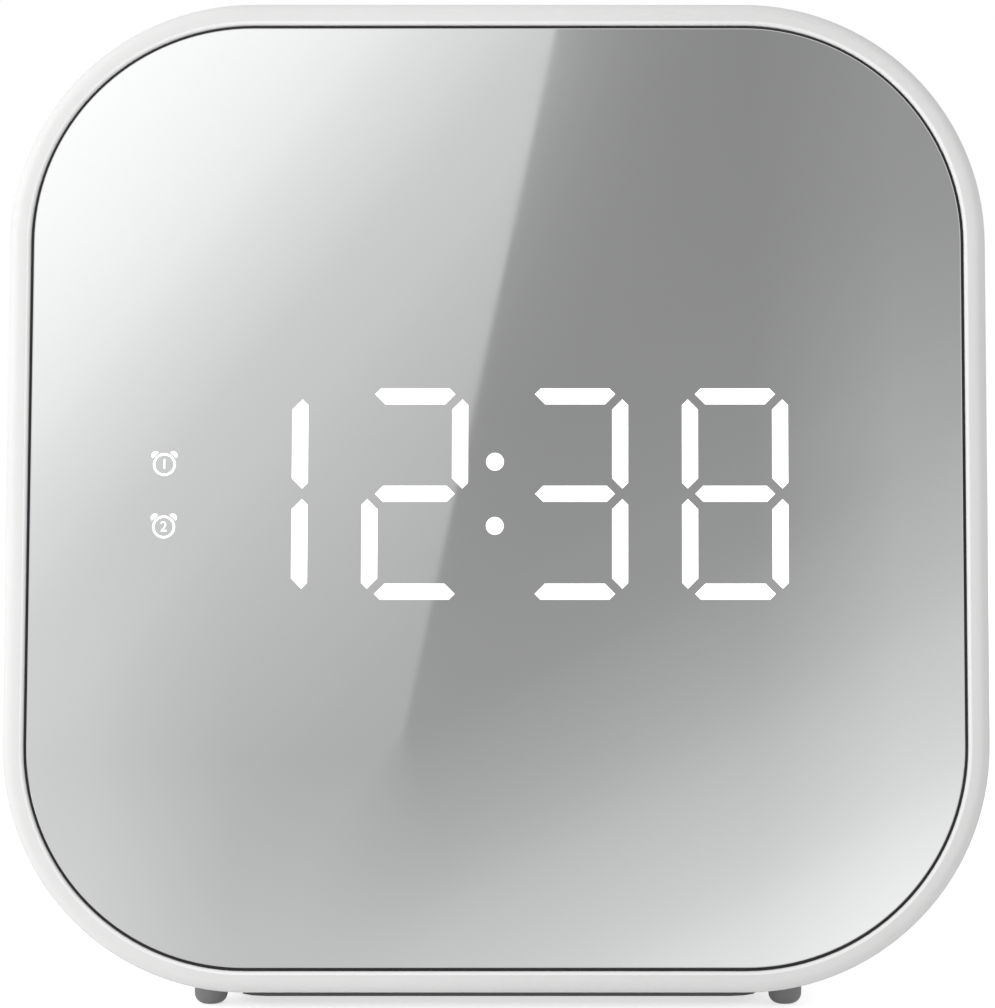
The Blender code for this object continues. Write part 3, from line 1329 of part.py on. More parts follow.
# ---------------------------------------------------------------- speaker
def speaker():
    """A small speaker that fires backwards through the grille: basket, magnet, cone and surround."""
    centre = (0.0, SPEAKER_Z)
    front = SPEAKER_FRONT
    back = BASKET_BACK
    slope_top = front - 3.2
    profile = (
        (SPEAKER_RADIUS, front),
        (SPEAKER_RADIUS, front - SPEAKER_RIM),
        (CONE_RADIUS + 4.4, front - SPEAKER_RIM),
        (CONE_RADIUS + 4.4, slope_top),
        (BASKET_BACK_RADIUS, back),
        (COIL_RADIUS + 1.8, back),
        (COIL_RADIUS + 1.8, back + 1),
        (BASKET_BACK_RADIUS - 0.8, back + 1),
        (CONE_RADIUS + 2.9, slope_top + 0.4),
        (CONE_RADIUS + 2.9, front),
    )
    basket = new_object("speaker_basket", lathe(profile, 24, centre, closed=True, place=place_xz), steel())
    ears = []
    holes = []
    for side in (-1, 1):
        ear = (side * SPEAKER_EAR_X, SPEAKER_Z)
        rim = (front - SPEAKER_RIM, front)
        ears.append(cylinder(SPEAKER_EAR_RADIUS, *rim, ear, 14, place_xz))
        inner, outer = sorted((side * (SPEAKER_RADIUS - 1), side * SPEAKER_EAR_X))
        wide = SPEAKER_EAR_RADIUS - 0.2
        ears.append(box((inner, rim[0], SPEAKER_Z - wide), (outer, rim[1], SPEAKER_Z + wide)))
        holes.append(
            cylinder(SMALL_SHANK_RADIUS + GAP, front - SPEAKER_RIM - 1, front + 1, ear, 8, place_xz)
        )
    for number, ear in enumerate(ears):
        join(basket, new_object(f"basket_ear_{number}", ear, helper=True))
    tag = box((-3.0, back + 2.2, SPEAKER_Z - 19.5), (3.0, back + 3.4, SPEAKER_Z - 14.8))
    join(basket, new_object("basket_tag", tag, helper=True))
    windows = []
    for step in range(4):
        angle = math.pi / 4 + math.pi / 2 * step
        outline = []
        for radius, turn in ((14.8, -0.42), (18.0, -0.42), (18.0, 0.42), (14.8, 0.42)):
            outline.append(
                (radius * math.cos(angle + turn), SPEAKER_Z + radius * math.sin(angle + turn))
            )
        windows.append(prism(outline, back - 1, slope_top - 0.6, place_xz))
    cut(basket, new_object("basket_openings", several(*holes, *windows), helper=True))

    gap_inner = COIL_RADIUS - 0.95
    gap_outer = COIL_RADIUS + 1.05
    magnet = (
        (gap_inner, MAGNET_FRONT),
        (gap_inner, MAGNET_FRONT - 4),
        (gap_outer, MAGNET_FRONT - 4),
        (gap_outer, MAGNET_FRONT),
        (MAGNET_RADIUS, MAGNET_FRONT),
        (MAGNET_RADIUS, MAGNET_FRONT - MAGNET_DEPTH),
    )
    new_object("speaker_magnet", lathe(magnet, 20, centre, place=place_xz), steel())

    rise = front - 2.2
    former = 0.35
    cone = (
        (1.0, rise - 4.0),
        (4.5, rise - 4.7),
        (COIL_RADIUS + former, rise - 6.6),
        (CONE_RADIUS, rise),
        (CONE_RADIUS, rise - 0.5),
        (COIL_RADIUS + former + 0.3, rise - 7.4),
        (COIL_RADIUS + former, MAGNET_FRONT - 3),
        (COIL_RADIUS - former, MAGNET_FRONT - 3),
        (COIL_RADIUS - former, rise - 7.0),
        (4.2, rise - 5.4),
        (1.0, rise - 4.7),
    )
    new_object("speaker_cone", lathe(cone, 20, centre, place=place_xz), paper())
    roll = CONE_RADIUS + GAP
    surround = (
        (roll, rise - 0.5),
        (roll, rise + 0.2),
        (roll + 0.6, rise + 1.0),
        (roll + 1.6, rise + 1.0),
        (roll + 2.2, rise + 0.2),
        (roll + 2.2, rise - 0.5),
        (roll + 1.7, rise - 0.5),
        (roll + 1.4, rise + 0.4),
        (roll + 0.8, rise + 0.4),
        (roll + 0.5, rise - 0.5),
    )
    new_object("speaker_surround", lathe(surround, 20, centre, closed=True, place=place_xz), black_rubber())
    for label, side in (("left", -1), ("right", 1)):
        seat = (side * SPEAKER_EAR_X, front - SPEAKER_RIM - GAP, SPEAKER_Z)
        small_screw(f"speaker_screw_{label}", seat, (0, -1, 0))


# ---------------------------------------------------------------- cables
def band(name, middle_and_width, route):
    """A flat cable whose route lies in the side view."""
    middle, width = middle_and_width
    outline = strip(route, RIBBON_THICKNESS)
    return new_object(name, prism(outline, middle - width / 2, middle + width / 2, place_yz), ribbon())


def cables():
    """Ribbons from the display and key boards, and the speaker's and cells' leads, down to the main board."""
    landing = SOCKET_BOTTOM + RIBBON_THICKNESS / 2
    front = MAIN_BOARD_FRONT
    height = SHELL_MIDDLE - MODULE_HEIGHT / 2
    back_of_board = face_y(height) + DISPLAY_BOARD_BACK / math.cos(LEAN) + GAP + RIBBON_THICKNESS
    points = [
        (0, back_of_board, height),
        (0, back_of_board + 0.4, height - 5),
        (0, (back_of_board + front) / 2, landing + 4),
        (0, front + 1, landing + 0.8),
        (0, front + 3, landing),
        (0, front + 4.5, landing),
    ]
    band("display_ribbon", DISPLAY_RIBBON, [(p[1], p[2]) for p in smooth_route(points, 4)])
    top = KEY_BOARD_BOTTOM - GAP
    points = [
        (0, KEYPAD_MIDDLE, top),
        (0, KEYPAD_MIDDLE - 0.3, top - 8),
        (0, front + 2, landing + 30),
        (0, front + 1.2, landing + 6),
        (0, front + 3, landing + 0.5),
        (0, front + 6, landing),
    ]
    band("key_ribbon", KEY_RIBBON, [(p[1], p[2]) for p in smooth_route(points, 4)])

    low = SOCKET_BOTTOM + LEAD_RADIUS
    points = [
        (0.0, BASKET_BACK + 2.8, SPEAKER_Z - 19.5 - GAP),
        (-1.0, BASKET_BACK + 2.4, SPEAKER_Z - 26),
        (-8.0, BASKET_BACK + 1.0, low + 9),
        (-9.5, BASKET_BACK + 0.5, low),
    ]
    new_object("speaker_lead", sweep(smooth_route(points, 4), LEAD_RADIUS, 6), black_rubber())
    start_x = -CONTACT_FACE - CONTACT_THICKNESS / 2
    start_y = BASE_MIDDLE - CELL_Y
    above = BAY_CEILING + BAY_WALL + 0.6 + GAP
    points = [
        (start_x, start_y, above),
        (start_x, start_y + 0.5, above + 3),
        (start_x, front - 1.5, low + 2.5),
        (start_x, front + 1.0, low + 1.5),
        (start_x, front + 2.0, low),
    ]
    new_object("battery_lead", sweep(smooth_route(points, 4), LEAD_RADIUS, 6), black_rubber())


def main():
    clear_scene()
    face = face_empty()
    front_housing()
    rear_shell()
    rear_screws()
    mirror_plate(face)
    mirror_tape(face)
    front_frame(face)
    display_stack(face)
    keys()
    keypad()
    base_panel()
    battery_door()
    feet()
    cell("cell_front", -1, 1)
    cell("cell_rear", 1, -1)
    contacts()
    main_board()
    board_pieces()
    usb_socket()
    supply_jack()
    aerial_gland()
    speaker()
    cables()


main()
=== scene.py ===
"""Looks of a bedside clock radio with a mirror face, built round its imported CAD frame.

Sizes are named in millimetres and turned into metres where a mesh is made. The radio stands on +Z,
its mirror faces -Y and leans back, and +X is to the right of someone who looks at the mirror.
"""

from __future__ import annotations

import logging
import math
from dataclasses import dataclass
from enum import Enum
from typing import Callable, Sequence

import bmesh
import bpy
from mathutils import Matrix, Vector


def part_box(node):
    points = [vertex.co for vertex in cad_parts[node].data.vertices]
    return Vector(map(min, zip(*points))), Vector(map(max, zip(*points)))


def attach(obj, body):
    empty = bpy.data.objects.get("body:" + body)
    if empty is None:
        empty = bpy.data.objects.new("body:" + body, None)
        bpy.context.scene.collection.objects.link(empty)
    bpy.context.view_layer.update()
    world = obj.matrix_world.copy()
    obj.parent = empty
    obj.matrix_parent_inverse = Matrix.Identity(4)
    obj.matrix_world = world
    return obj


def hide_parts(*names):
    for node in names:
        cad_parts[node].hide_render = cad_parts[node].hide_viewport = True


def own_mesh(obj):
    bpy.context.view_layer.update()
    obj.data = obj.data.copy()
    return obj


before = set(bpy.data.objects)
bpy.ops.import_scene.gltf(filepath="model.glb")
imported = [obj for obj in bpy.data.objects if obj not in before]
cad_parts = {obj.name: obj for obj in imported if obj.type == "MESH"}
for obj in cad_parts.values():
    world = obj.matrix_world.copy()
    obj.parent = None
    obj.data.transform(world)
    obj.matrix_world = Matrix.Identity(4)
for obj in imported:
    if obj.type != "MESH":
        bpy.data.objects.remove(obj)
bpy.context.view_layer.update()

MM = 0.001
LOG = logging.getLogger("clock_radio")
RADIO = "radio"
LEAN = math.radians(5.0)
HAIR = 0.01 * MM
SHELL_BOTTOM = 2.3
SHELL_TOP = 106.0
SHELL_MIDDLE = 54.15
SHELL_CORNER = 25.5
KEY_FLANGE = 0.9

Colour = tuple[float, float, float]
Point = tuple[float, float, float]
Pair = tuple[float, float]


# ---------------------------------------------------------------- modelling by hand, in code
def metres(x: float, y: float, z: float) -> Vector:
    """A point or step given in millimetres, in metres."""
    return Vector((x, y, z)) * MM


def only(obj: bpy.types.Object) -> None:
    """Selects one object and makes it active."""
    if bpy.context.object and bpy.context.object.mode != "OBJECT":
        bpy.ops.object.mode_set(mode="OBJECT")
    bpy.ops.object.select_all(action="DESELECT")
    obj.select_set(True)
    bpy.context.view_layer.objects.active = obj


def apply_place(obj: bpy.types.Object) -> bpy.types.Object:
    """Moves an object's place, turn and size into its mesh. Returns it."""
    only(obj)
    bpy.ops.object.transform_apply(location=True, rotation=True, scale=True)
    return obj


def over(node: str, across: float = 0.0, height: float = 0.0) -> Vector:
    """The point above a CAD node's middle. Args: across, a step along X, and height, both in millimetres."""
    low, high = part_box(node)
    return Vector(((low.x + high.x) / 2 + across * MM, (low.y + high.y) / 2, height * MM))


class Bench:
    """Edit mode on one object, with picking by place or normal. A pick lasts until the next one."""

    def __init__(self, obj: bpy.types.Object) -> None:
        """Args: obj, the mesh object to work on."""
        self.obj = obj

    def __enter__(self) -> Bench:
        """Goes into edit mode with nothing picked."""
        only(self.obj)
        bpy.ops.object.mode_set(mode="EDIT")
        bpy.ops.mesh.select_all(action="DESELECT")
        return self

    def __exit__(self, *_: object) -> None:
        """Goes back to object mode."""
        bpy.ops.object.mode_set(mode="OBJECT")

    def pick_edges(self, test: Callable[[Vector, Vector], bool]) -> None:
        """Picks the edges whose two end points pass test."""
        bpy.ops.mesh.select_mode(type="EDGE")
        bpy.ops.mesh.select_all(action="DESELECT")
        mesh = bmesh.from_edit_mesh(self.obj.data)
        for edge in mesh.edges:
            if test(edge.verts[0].co, edge.verts[1].co):
                edge.select_set(True)
        bmesh.update_edit_mesh(self.obj.data)

    def pick_faces(self, test: Callable[[Vector, Vector], bool]) -> None:
        """Picks the faces whose middle and normal pass test."""
        bpy.ops.mesh.select_mode(type="FACE")
        bpy.ops.mesh.select_all(action="DESELECT")
        mesh = bmesh.from_edit_mesh(self.obj.data)
        mesh.normal_update()
        for face in mesh.faces:
            if test(face.calc_center_median(), face.normal):
                face.select_set(True)
        bmesh.update_edit_mesh(self.obj.data)

    def pick_all(self) -> None:
        """Picks everything."""
        bpy.ops.mesh.select_all(action="SELECT")

    def bevel(self, width: float, segments: int = 1) -> None:
        """Rounds the picked edges. Args: width in millimetres; segments of the round."""
        bpy.ops.mesh.bevel(offset=width * MM, segments=segments, affect="EDGES", profile=0.5)

    def inset(self, width: float, sink: float = 0.0) -> None:
        """Insets the picked faces. Args: width and sink in millimetres, where a positive sink goes in."""
        bpy.ops.mesh.inset(thickness=width * MM, depth=-sink * MM)

    def extrude(self, step: Vector) -> None:
        """Extrudes the picked faces or edges by a step in metres."""
        bpy.ops.mesh.extrude_region_move(TRANSFORM_OT_translate={"value": tuple(step)})

    def resize(self, factors: Point, centre: Vector) -> None:
        """Scales what is picked about a centre in metres."""
        bpy.ops.transform.resize(value=factors, center_override=tuple(centre))

    def slice(self, point: Vector, normal: Vector) -> None:
        """Cuts off all that lies on the normal's side of a plane, and closes the cut."""
        self.pick_all()
        bpy.ops.mesh.bisect(plane_co=tuple(point), plane_no=tuple(normal), use_fill=True, clear_outer=True)


def settle(obj: bpy.types.Object, smooth_below: float = 32.0) -> bpy.types.Object:
    """Applies the object's place, points its faces outwards and shades it.

    Args:
        obj: a finished mesh object.
        smooth_below: edges that turn less than this many degrees are shaded smooth.

    Returns:
        The same object, at the origin and unturned.
    """
    apply_place(obj)
    with Bench(obj) as bench:
        bench.pick_all()
        bpy.ops.mesh.remove_doubles(threshold=0.002 * MM)
        bpy.ops.mesh.normals_make_consistent(inside=False)
    bpy.ops.object.shade_smooth_by_angle(angle=math.radians(smooth_below))
    modifier = obj.modifiers.new("even_shading", "WEIGHTED_NORMAL")
    modifier.keep_sharp = True
    bpy.ops.object.modifier_apply(modifier=modifier.name)
    return obj


def block(name: str, low: Vector, high: Vector) -> bpy.types.Object:
    """A box between two corners, as a start for a piece."""
    bpy.ops.mesh.primitive_cube_add(size=1.0, location=(low + high) / 2, scale=high - low)
    obj = bpy.context.object
    obj.name = name
    return apply_place(obj)


class Axis(Enum):
    """The way a round primitive points, as its turn from +Z."""

    UP = (0.0, 0.0, 0.0)
    BACK = (-math.pi / 2, 0.0, 0.0)
    RIGHT = (0.0, math.pi / 2, 0.0)


def rod(
    name: str, radius: float, start: Vector, length: float, axis: Axis = Axis.UP, sides: int = 32
) -> bpy.types.Object:
    """A cylinder that begins at start and runs length millimetres along an axis."""
    bpy.ops.mesh.primitive_cylinder_add(vertices=sides, radius=radius * MM, depth=length * MM)
    obj = bpy.context.object
    obj.name = name
    obj.rotation_euler = axis.value
    middle = Vector((0.0, 0.0, length * MM / 2))
    middle.rotate(obj.rotation_euler)
    obj.location = start + middle
    return apply_place(obj)


def slab(name: str, size: Point, radius: float, segments: int = 16) -> bpy.types.Object:
    """A plate with rounded corners, flat in XZ and centred on the origin. Its thickness runs along Y from 0."""
    width, thickness, height = size
    obj = block(name, metres(-width / 2, 0.0, -height / 2), metres(width / 2, thickness, height / 2))
    with Bench(obj) as bench:
        bench.pick_edges(lambda a, b: abs(a.y - b.y) > thickness * MM / 2)
        bench.bevel(radius, segments)
    return obj


def pill(name: str, size: Pair, low: float, high: float, segments: int = 10) -> bpy.types.Object:
    """A bar with half-round ends standing on Z between two heights, centred on the origin."""
    width, depth = size
    obj = block(name, metres(-width / 2, -depth / 2, low), metres(width / 2, depth / 2, high))
    with Bench(obj) as bench:
        bench.pick_edges(lambda a, b: abs(a.z - b.z) > (high - low) * MM / 2)
        bench.bevel(depth / 2 - 0.005, segments)
        bench.pick_all()
        bpy.ops.mesh.remove_doubles(threshold=0.02 * MM)
    return obj


def ring(name: str, outer: float, inner: float, thickness: float, opening: float = 0.0) -> bpy.types.Object:
    """A flat ring in XZ round the origin, whose thickness runs along Y from 0 and may be open at its top.

    Args:
        name: the object's name.
        outer: the outer radius in millimetres.
        inner: the inner radius in millimetres.
        thickness: how thick it is in millimetres.
        opening: the angle in degrees that is left open round +Z.

    Returns:
        The ring, closed all over.
    """
    bpy.ops.mesh.primitive_circle_add(vertices=40, radius=outer * MM, rotation=Axis.BACK.value)
    obj = bpy.context.object
    obj.name = name
    apply_place(obj)
    half = math.radians(opening) / 2
    with Bench(obj) as bench:
        bench.pick_edges(lambda a, b: True)
        bench.extrude(Vector())
        bench.resize((inner / outer,) * 3, Vector())
        bench.pick_faces(lambda middle, _: abs(math.atan2(middle.x, middle.z)) < half)
        bpy.ops.mesh.delete(type="FACE")
        bench.pick_faces(lambda middle, _: True)
        bench.extrude(metres(0.0, thickness, 0.0))
    return obj


def number_print(label: str, size: float, thickness: float) -> bpy.types.Object:
    """A number in XZ round the origin, whose thickness runs along Y from 0. Sizes are in millimetres."""
    bpy.ops.object.text_add(rotation=(math.pi / 2, 0.0, 0.0))
    number = bpy.context.object
    number.data.body = label
    number.data.size = size * MM
    number.data.extrude = thickness * MM / 2
    number.data.align_x = "CENTER"
    number.data.align_y = "CENTER"
    number.location = metres(0.0, thickness / 2, 0.0)
    only(number)
    bpy.ops.object.convert(target="MESH")
    return bpy.context.object


def merge(name: str, parts: Sequence[bpy.types.Object]) -> bpy.types.Object:
    """Joins separate shapes into one object."""
    only(parts[0])
    for part in parts:
        part.select_set(True)
    if len(parts) > 1:
        bpy.ops.object.join()
    parts[0].name = name
    return parts[0]


def carve(target: bpy.types.Object, tool: bpy.types.Object, operation: str = "DIFFERENCE") -> None:
    """Cuts a tool from a piece, or joins it on, and removes the tool."""
    only(target)
    modifier = target.modifiers.new("carve", "BOOLEAN")
    modifier.operation = operation
    modifier.solver = "EXACT"
    modifier.object = tool
    bpy.ops.object.modifier_apply(modifier=modifier.name)
    bpy.data.objects.remove(tool, do_unlink=True)


def copy_of(obj: bpy.types.Object, name: str, shift: Vector) -> bpy.types.Object:
    """A copy with its own mesh, moved by shift in metres."""
    only(obj)
    bpy.ops.object.duplicate(linked=False)
    made = bpy.context.object
    made.name = name
    made.location += shift
    return apply_place(made)


def dress(obj: bpy.types.Object, finish: bpy.types.Material) -> None:
    """Gives every face of a new piece or CAD node one finish."""
    if not obj.material_slots:
        obj.data.materials.append(finish)
    for place in obj.material_slots:
        place.material = finish


def mount(obj: bpy.types.Object, body: str, stands_for: Sequence[str] = ()) -> None:
    """Makes a piece ride on a body and the CAD nodes that it stands for."""
    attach(obj, body)
    if stands_for:
        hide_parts(*stands_for)
    LOG.info("%s rides on %s", obj.name, body)


def fit(
    obj: bpy.types.Object, finish: bpy.types.Material, body: str, stands_for: Sequence[str] = ()
) -> None:
    """Dresses a new piece in one finish and mounts it."""
    dress(obj, finish)
    mount(obj, body, stands_for)


# ---------------------------------------------------------------- the leaning face
@dataclass(frozen=True)
class Face:
    """The plane of the mirror's rim: its middle, its lean, and the turn that lays pieces into it."""

    front_edge: float = -31.122

    def centre(self) -> Vector:
        """The middle of the face in metres."""
        back = (SHELL_MIDDLE - SHELL_BOTTOM) * math.tan(LEAN)
        return metres(0.0, self.front_edge + back, SHELL_MIDDLE)

    def normal(self) -> Vector:
        """The way the face looks."""
        return Vector((0.0, -math.cos(LEAN), math.sin(LEAN)))

    def turn(self) -> Matrix:
        """Takes a piece made upright round the origin to its place in the face."""
        return Matrix.Translation(self.centre()) @ Matrix.Rotation(-LEAN, 4, "X")

    def lay(self, obj: bpy.types.Object, across: float = 0.0, depth: float = 0.0, up: float = 0.0) -> None:
        """Moves a piece made upright round the origin into the face, at a place given in millimetres."""
        obj.matrix_world = self.turn() @ Matrix.Translation(metres(across, depth, up))
        apply_place(obj)


FACE = Face()


# ---------------------------------------------------------------- shader effects
class Graph:
    """A node tree with short calls for adding and joining nodes."""

    def __init__(self, tree: bpy.types.NodeTree) -> None:
        """Args: tree, the node tree to add to."""
        self.tree = tree

    def add(self, kind: str, **settings: object) -> bpy.types.Node:
        """A new node with its properties set, whose kind is the part of its class name after ShaderNode."""
        node = self.tree.nodes.new(f"ShaderNode{kind}")
        for name, value in settings.items():
            setattr(node, name, value)
        return node

    def join(self, source: bpy.types.NodeSocket, target: bpy.types.NodeSocket) -> None:
        """Joins an output to an input."""
        self.tree.links.new(source, target)

    def math(
        self, operation: str, first: object, second: object = 0.0, clamp: bool = False
    ) -> bpy.types.NodeSocket:
        """A Math node between two numbers or sockets. Returns its output."""
        node = self.add("Math", operation=operation, use_clamp=clamp)
        for socket, value in zip(node.inputs, (first, second)):
            if isinstance(value, (int, float)):
                socket.default_value = value
            else:
                self.join(value, socket)
        return node.outputs[0]

    def span(self, value: bpy.types.NodeSocket, old: Pair, new: Pair) -> bpy.types.NodeSocket:
        """Takes a value from one range to another. Returns its output."""
        node = self.add("MapRange")
        for socket, number in zip(node.inputs[1:5], (*old, *new)):
            socket.default_value = number
        self.join(value, node.inputs[0])
        return node.outputs[0]


def effect(
    name: str, inputs: dict[str, tuple[str, object]], outputs: dict[str, str]
) -> tuple[Graph, bpy.types.Node, bpy.types.Node]:
    """A new shader node group. Returns its graph, its input node and its output node."""
    tree = bpy.data.node_groups.new(name, "ShaderNodeTree")
    for label, (kind, value) in inputs.items():
        socket = tree.interface.new_socket(name=label, in_out="INPUT", socket_type=f"NodeSocket{kind}")
        socket.default_value = value
    for label, kind in outputs.items():
        tree.interface.new_socket(name=label, in_out="OUTPUT", socket_type=f"NodeSocket{kind}")
    return Graph(tree), tree.nodes.new("NodeGroupInput"), tree.nodes.new("NodeGroupOutput")


def shared(name: str, maker: Callable[[str], bpy.types.NodeTree]) -> bpy.types.NodeTree:
    """The group with this name, made the first time that it is asked for."""
    return bpy.data.node_groups.get(name) or maker(name)


def make_grain(name: str) -> bpy.types.NodeTree:
    """Fine moulded grain: a height of tiny rounded pits, and a mask that breaks up the gloss."""
    graph, given, gives = effect(name, {"Scale": ("Float", 4000.0)}, {"Height": "Float", "Gloss": "Float"})
    place = graph.add("TexCoord").outputs["Object"]
    pits = graph.add("TexVoronoi", feature="SMOOTH_F1")
    pits.inputs["Smoothness"].default_value = 0.6
    fine = graph.add("TexNoise")
    fine.inputs["Detail"].default_value = 3.0
    for texture in (pits, fine):
        graph.join(place, texture.inputs["Vector"])
        graph.join(given.outputs["Scale"], texture.inputs["Scale"])
    broad = graph.add("TexNoise")
    broad.inputs["Scale"].default_value = 70.0
    broad.inputs["Detail"].default_value = 4.0
    graph.join(place, broad.inputs["Vector"])
    height = graph.math("ADD", graph.math("MULTIPLY", pits.outputs["Distance"], 0.7), fine.outputs["Fac"])
    graph.join(height, gives.inputs["Height"])
    mixed = graph.math("ADD", graph.math("MULTIPLY", fine.outputs["Fac"], 0.4), broad.outputs["Fac"])
    graph.join(graph.span(mixed, (0.4, 1.0), (0.0, 1.0)), gives.inputs["Gloss"])
    return graph.tree


def make_drift(name: str) -> bpy.types.NodeTree:
    """Slow drift of a colour over a surface, between the colour and a second one."""
    graph, given, gives = effect(
        name,
        {"Colour": ("Color", (1, 1, 1, 1)), "Other": ("Color", (1, 1, 1, 1)), "Scale": ("Float", 30.0)},
        {"Colour": "Color"},
    )
    noise = graph.add("TexNoise")
    noise.inputs["Detail"].default_value = 5.0
    graph.join(graph.add("TexCoord").outputs["Object"], noise.inputs["Vector"])
    graph.join(given.outputs["Scale"], noise.inputs["Scale"])
    blend = graph.add("Mix", data_type="RGBA")
    graph.join(graph.span(noise.outputs["Fac"], (0.3, 0.7), (0.0, 1.0)), blend.inputs["Factor"])
    graph.join(given.outputs["Colour"], blend.inputs["A"])
    graph.join(given.outputs["Other"], blend.inputs["B"])
    graph.join(blend.outputs["Result"], gives.inputs["Colour"])
    return graph.tree


def make_brush(name: str) -> bpy.types.NodeTree:
    """Fine lines drawn along X, as on rolled and brushed metal."""
    graph, given, gives = effect(name, {"Scale": ("Float", 3000.0)}, {"Height": "Float"})
    stretch = graph.add("Mapping")
    stretch.inputs["Scale"].default_value = (0.04, 1.0, 1.0)
    graph.join(graph.add("TexCoord").outputs["Object"], stretch.inputs["Vector"])
    noise = graph.add("TexNoise")
    noise.inputs["Detail"].default_value = 4.0
    graph.join(stretch.outputs["Vector"], noise.inputs["Vector"])
    graph.join(given.outputs["Scale"], noise.inputs["Scale"])
    graph.join(noise.outputs["Fac"], gives.inputs["Height"])
    return graph.tree


class Effect(Enum):
    """The shared effects and what makes each."""

    GRAIN = ("moulded_grain", make_grain)
    DRIFT = ("colour_drift", make_drift)
    BRUSH = ("brushed_lines", make_brush)

    def place(self, graph: Graph, **values: object) -> bpy.types.Node:
        """Puts the effect in a material with its own values. Returns its node."""
        name, maker = self.value
        node = graph.add("Group")
        node.node_tree = shared(name, maker)
        for label, value in values.items():
            node.inputs[label].default_value = value
        return node


def new_finish(name: str) -> tuple[bpy.types.Material, Graph, bpy.types.Node]:
    """An empty material. Returns it, its graph and its Principled shader."""
    made = bpy.data.materials.new(name)
    made.use_nodes = True
    graph = Graph(made.node_tree)
    return made, graph, made.node_tree.nodes["Principled BSDF"]


# ---------------------------------------------------------------- finishes
@dataclass(frozen=True)
class Moulding:
    """Moulded plastic or rubber with a grained surface."""

    name: str
    colour: Colour
    other: Colour
    roughness: Pair = (0.38, 0.46)
    grain: float = 4500.0
    depth: float = 0.012
    bump: float = 0.25
    sheen: float = 0.0
    subsurface: float = 0.0

    def make(self) -> bpy.types.Material:
        """Builds the material."""
        made, graph, shader = new_finish(self.name)
        drift = Effect.DRIFT.place(graph, Colour=(*self.colour, 1.0), Other=(*self.other, 1.0), Scale=28.0)
        graph.join(drift.outputs["Colour"], shader.inputs["Base Color"])
        grain = Effect.GRAIN.place(graph, Scale=self.grain)
        graph.join(graph.span(grain.outputs["Gloss"], (0.0, 1.0), self.roughness), shader.inputs["Roughness"])
        bump = graph.add("Bump")
        bump.inputs["Strength"].default_value = self.bump
        bump.inputs["Distance"].default_value = self.depth * MM
        graph.join(grain.outputs["Height"], bump.inputs["Height"])
        graph.join(bump.outputs["Normal"], shader.inputs["Normal"])
        shader.inputs["IOR"].default_value = 1.5
        if self.sheen:
            shader.inputs["Sheen Weight"].default_value = self.sheen
            shader.inputs["Sheen Roughness"].default_value = 0.5
        if self.subsurface:
            shader.inputs["Subsurface Weight"].default_value = self.subsurface
            shader.inputs["Subsurface Radius"].default_value = (0.0008, 0.0008, 0.0007)
            shader.inputs["Subsurface Scale"].default_value = 1.0
        return made


@dataclass(frozen=True)
class Metal:
    """Plated, rolled or turned metal with fine lines and a slow change of tone."""

    name: str
    colour: Colour
    other: Colour
    roughness: Pair = (0.22, 0.38)
    lines: float = 3000.0
    depth: float = 0.004

    def make(self) -> bpy.types.Material:
        """Builds the material."""
        made, graph, shader = new_finish(self.name)
        drift = Effect.DRIFT.place(graph, Colour=(*self.colour, 1.0), Other=(*self.other, 1.0), Scale=90.0)
        graph.join(drift.outputs["Colour"], shader.inputs["Base Color"])
        shader.inputs["Metallic"].default_value = 1.0
        brush = Effect.BRUSH.place(graph, Scale=self.lines)
        graph.join(graph.span(brush.outputs["Height"], (0.3, 0.7), self.roughness), shader.inputs["Roughness"])
        bump = graph.add("Bump")
        bump.inputs["Strength"].default_value = 0.4
        bump.inputs["Distance"].default_value = self.depth * MM
        graph.join(brush.outputs["Height"], bump.inputs["Height"])
        graph.join(bump.outputs["Normal"], shader.inputs["Normal"])
        return made


@dataclass(frozen=True)
class MirrorCoat:
    """The silvered acrylic of the face: nearly perfect, with a breath of haze that comes and goes."""

    name: str = "mirror_coat"
    colour: Colour = (0.93, 0.935, 0.94)
    other: Colour = (0.90, 0.905, 0.91)
    haze: Pair = (0.012, 0.035)

    def make(self) -> bpy.types.Material:
        """Builds the material."""
        made, graph, shader = new_finish(self.name)
        drift = Effect.DRIFT.place(graph, Colour=(*self.colour, 1.0), Other=(*self.other, 1.0), Scale=14.0)
        graph.join(drift.outputs["Colour"], shader.inputs["Base Color"])
        shader.inputs["Metallic"].default_value = 1.0
        grain = Effect.GRAIN.place(graph, Scale=600.0)
        graph.join(graph.span(grain.outputs["Gloss"], (0.0, 1.0), self.haze), shader.inputs["Roughness"])
        return made


@dataclass(frozen=True)
class Glow:
    """A milky light window: white, lit evenly, with a slightly uneven surface."""

    name: str = "lit_window"
    strength: float = 1.02

    def make(self) -> bpy.types.Material:
        """Builds the material."""
        made, graph, shader = new_finish(self.name)
        milk = {"Colour": (0.9, 0.92, 0.94, 1.0), "Other": (0.95, 0.95, 0.95, 1.0)}
        drift = Effect.DRIFT.place(graph, **milk, Scale=300.0)
        graph.join(drift.outputs["Colour"], shader.inputs["Base Color"])
        shader.inputs["Roughness"].default_value = 0.4
        shader.inputs["Emission Color"].default_value = (1.0, 1.0, 1.0, 1.0)
        shader.inputs["Emission Strength"].default_value = self.strength
        return made


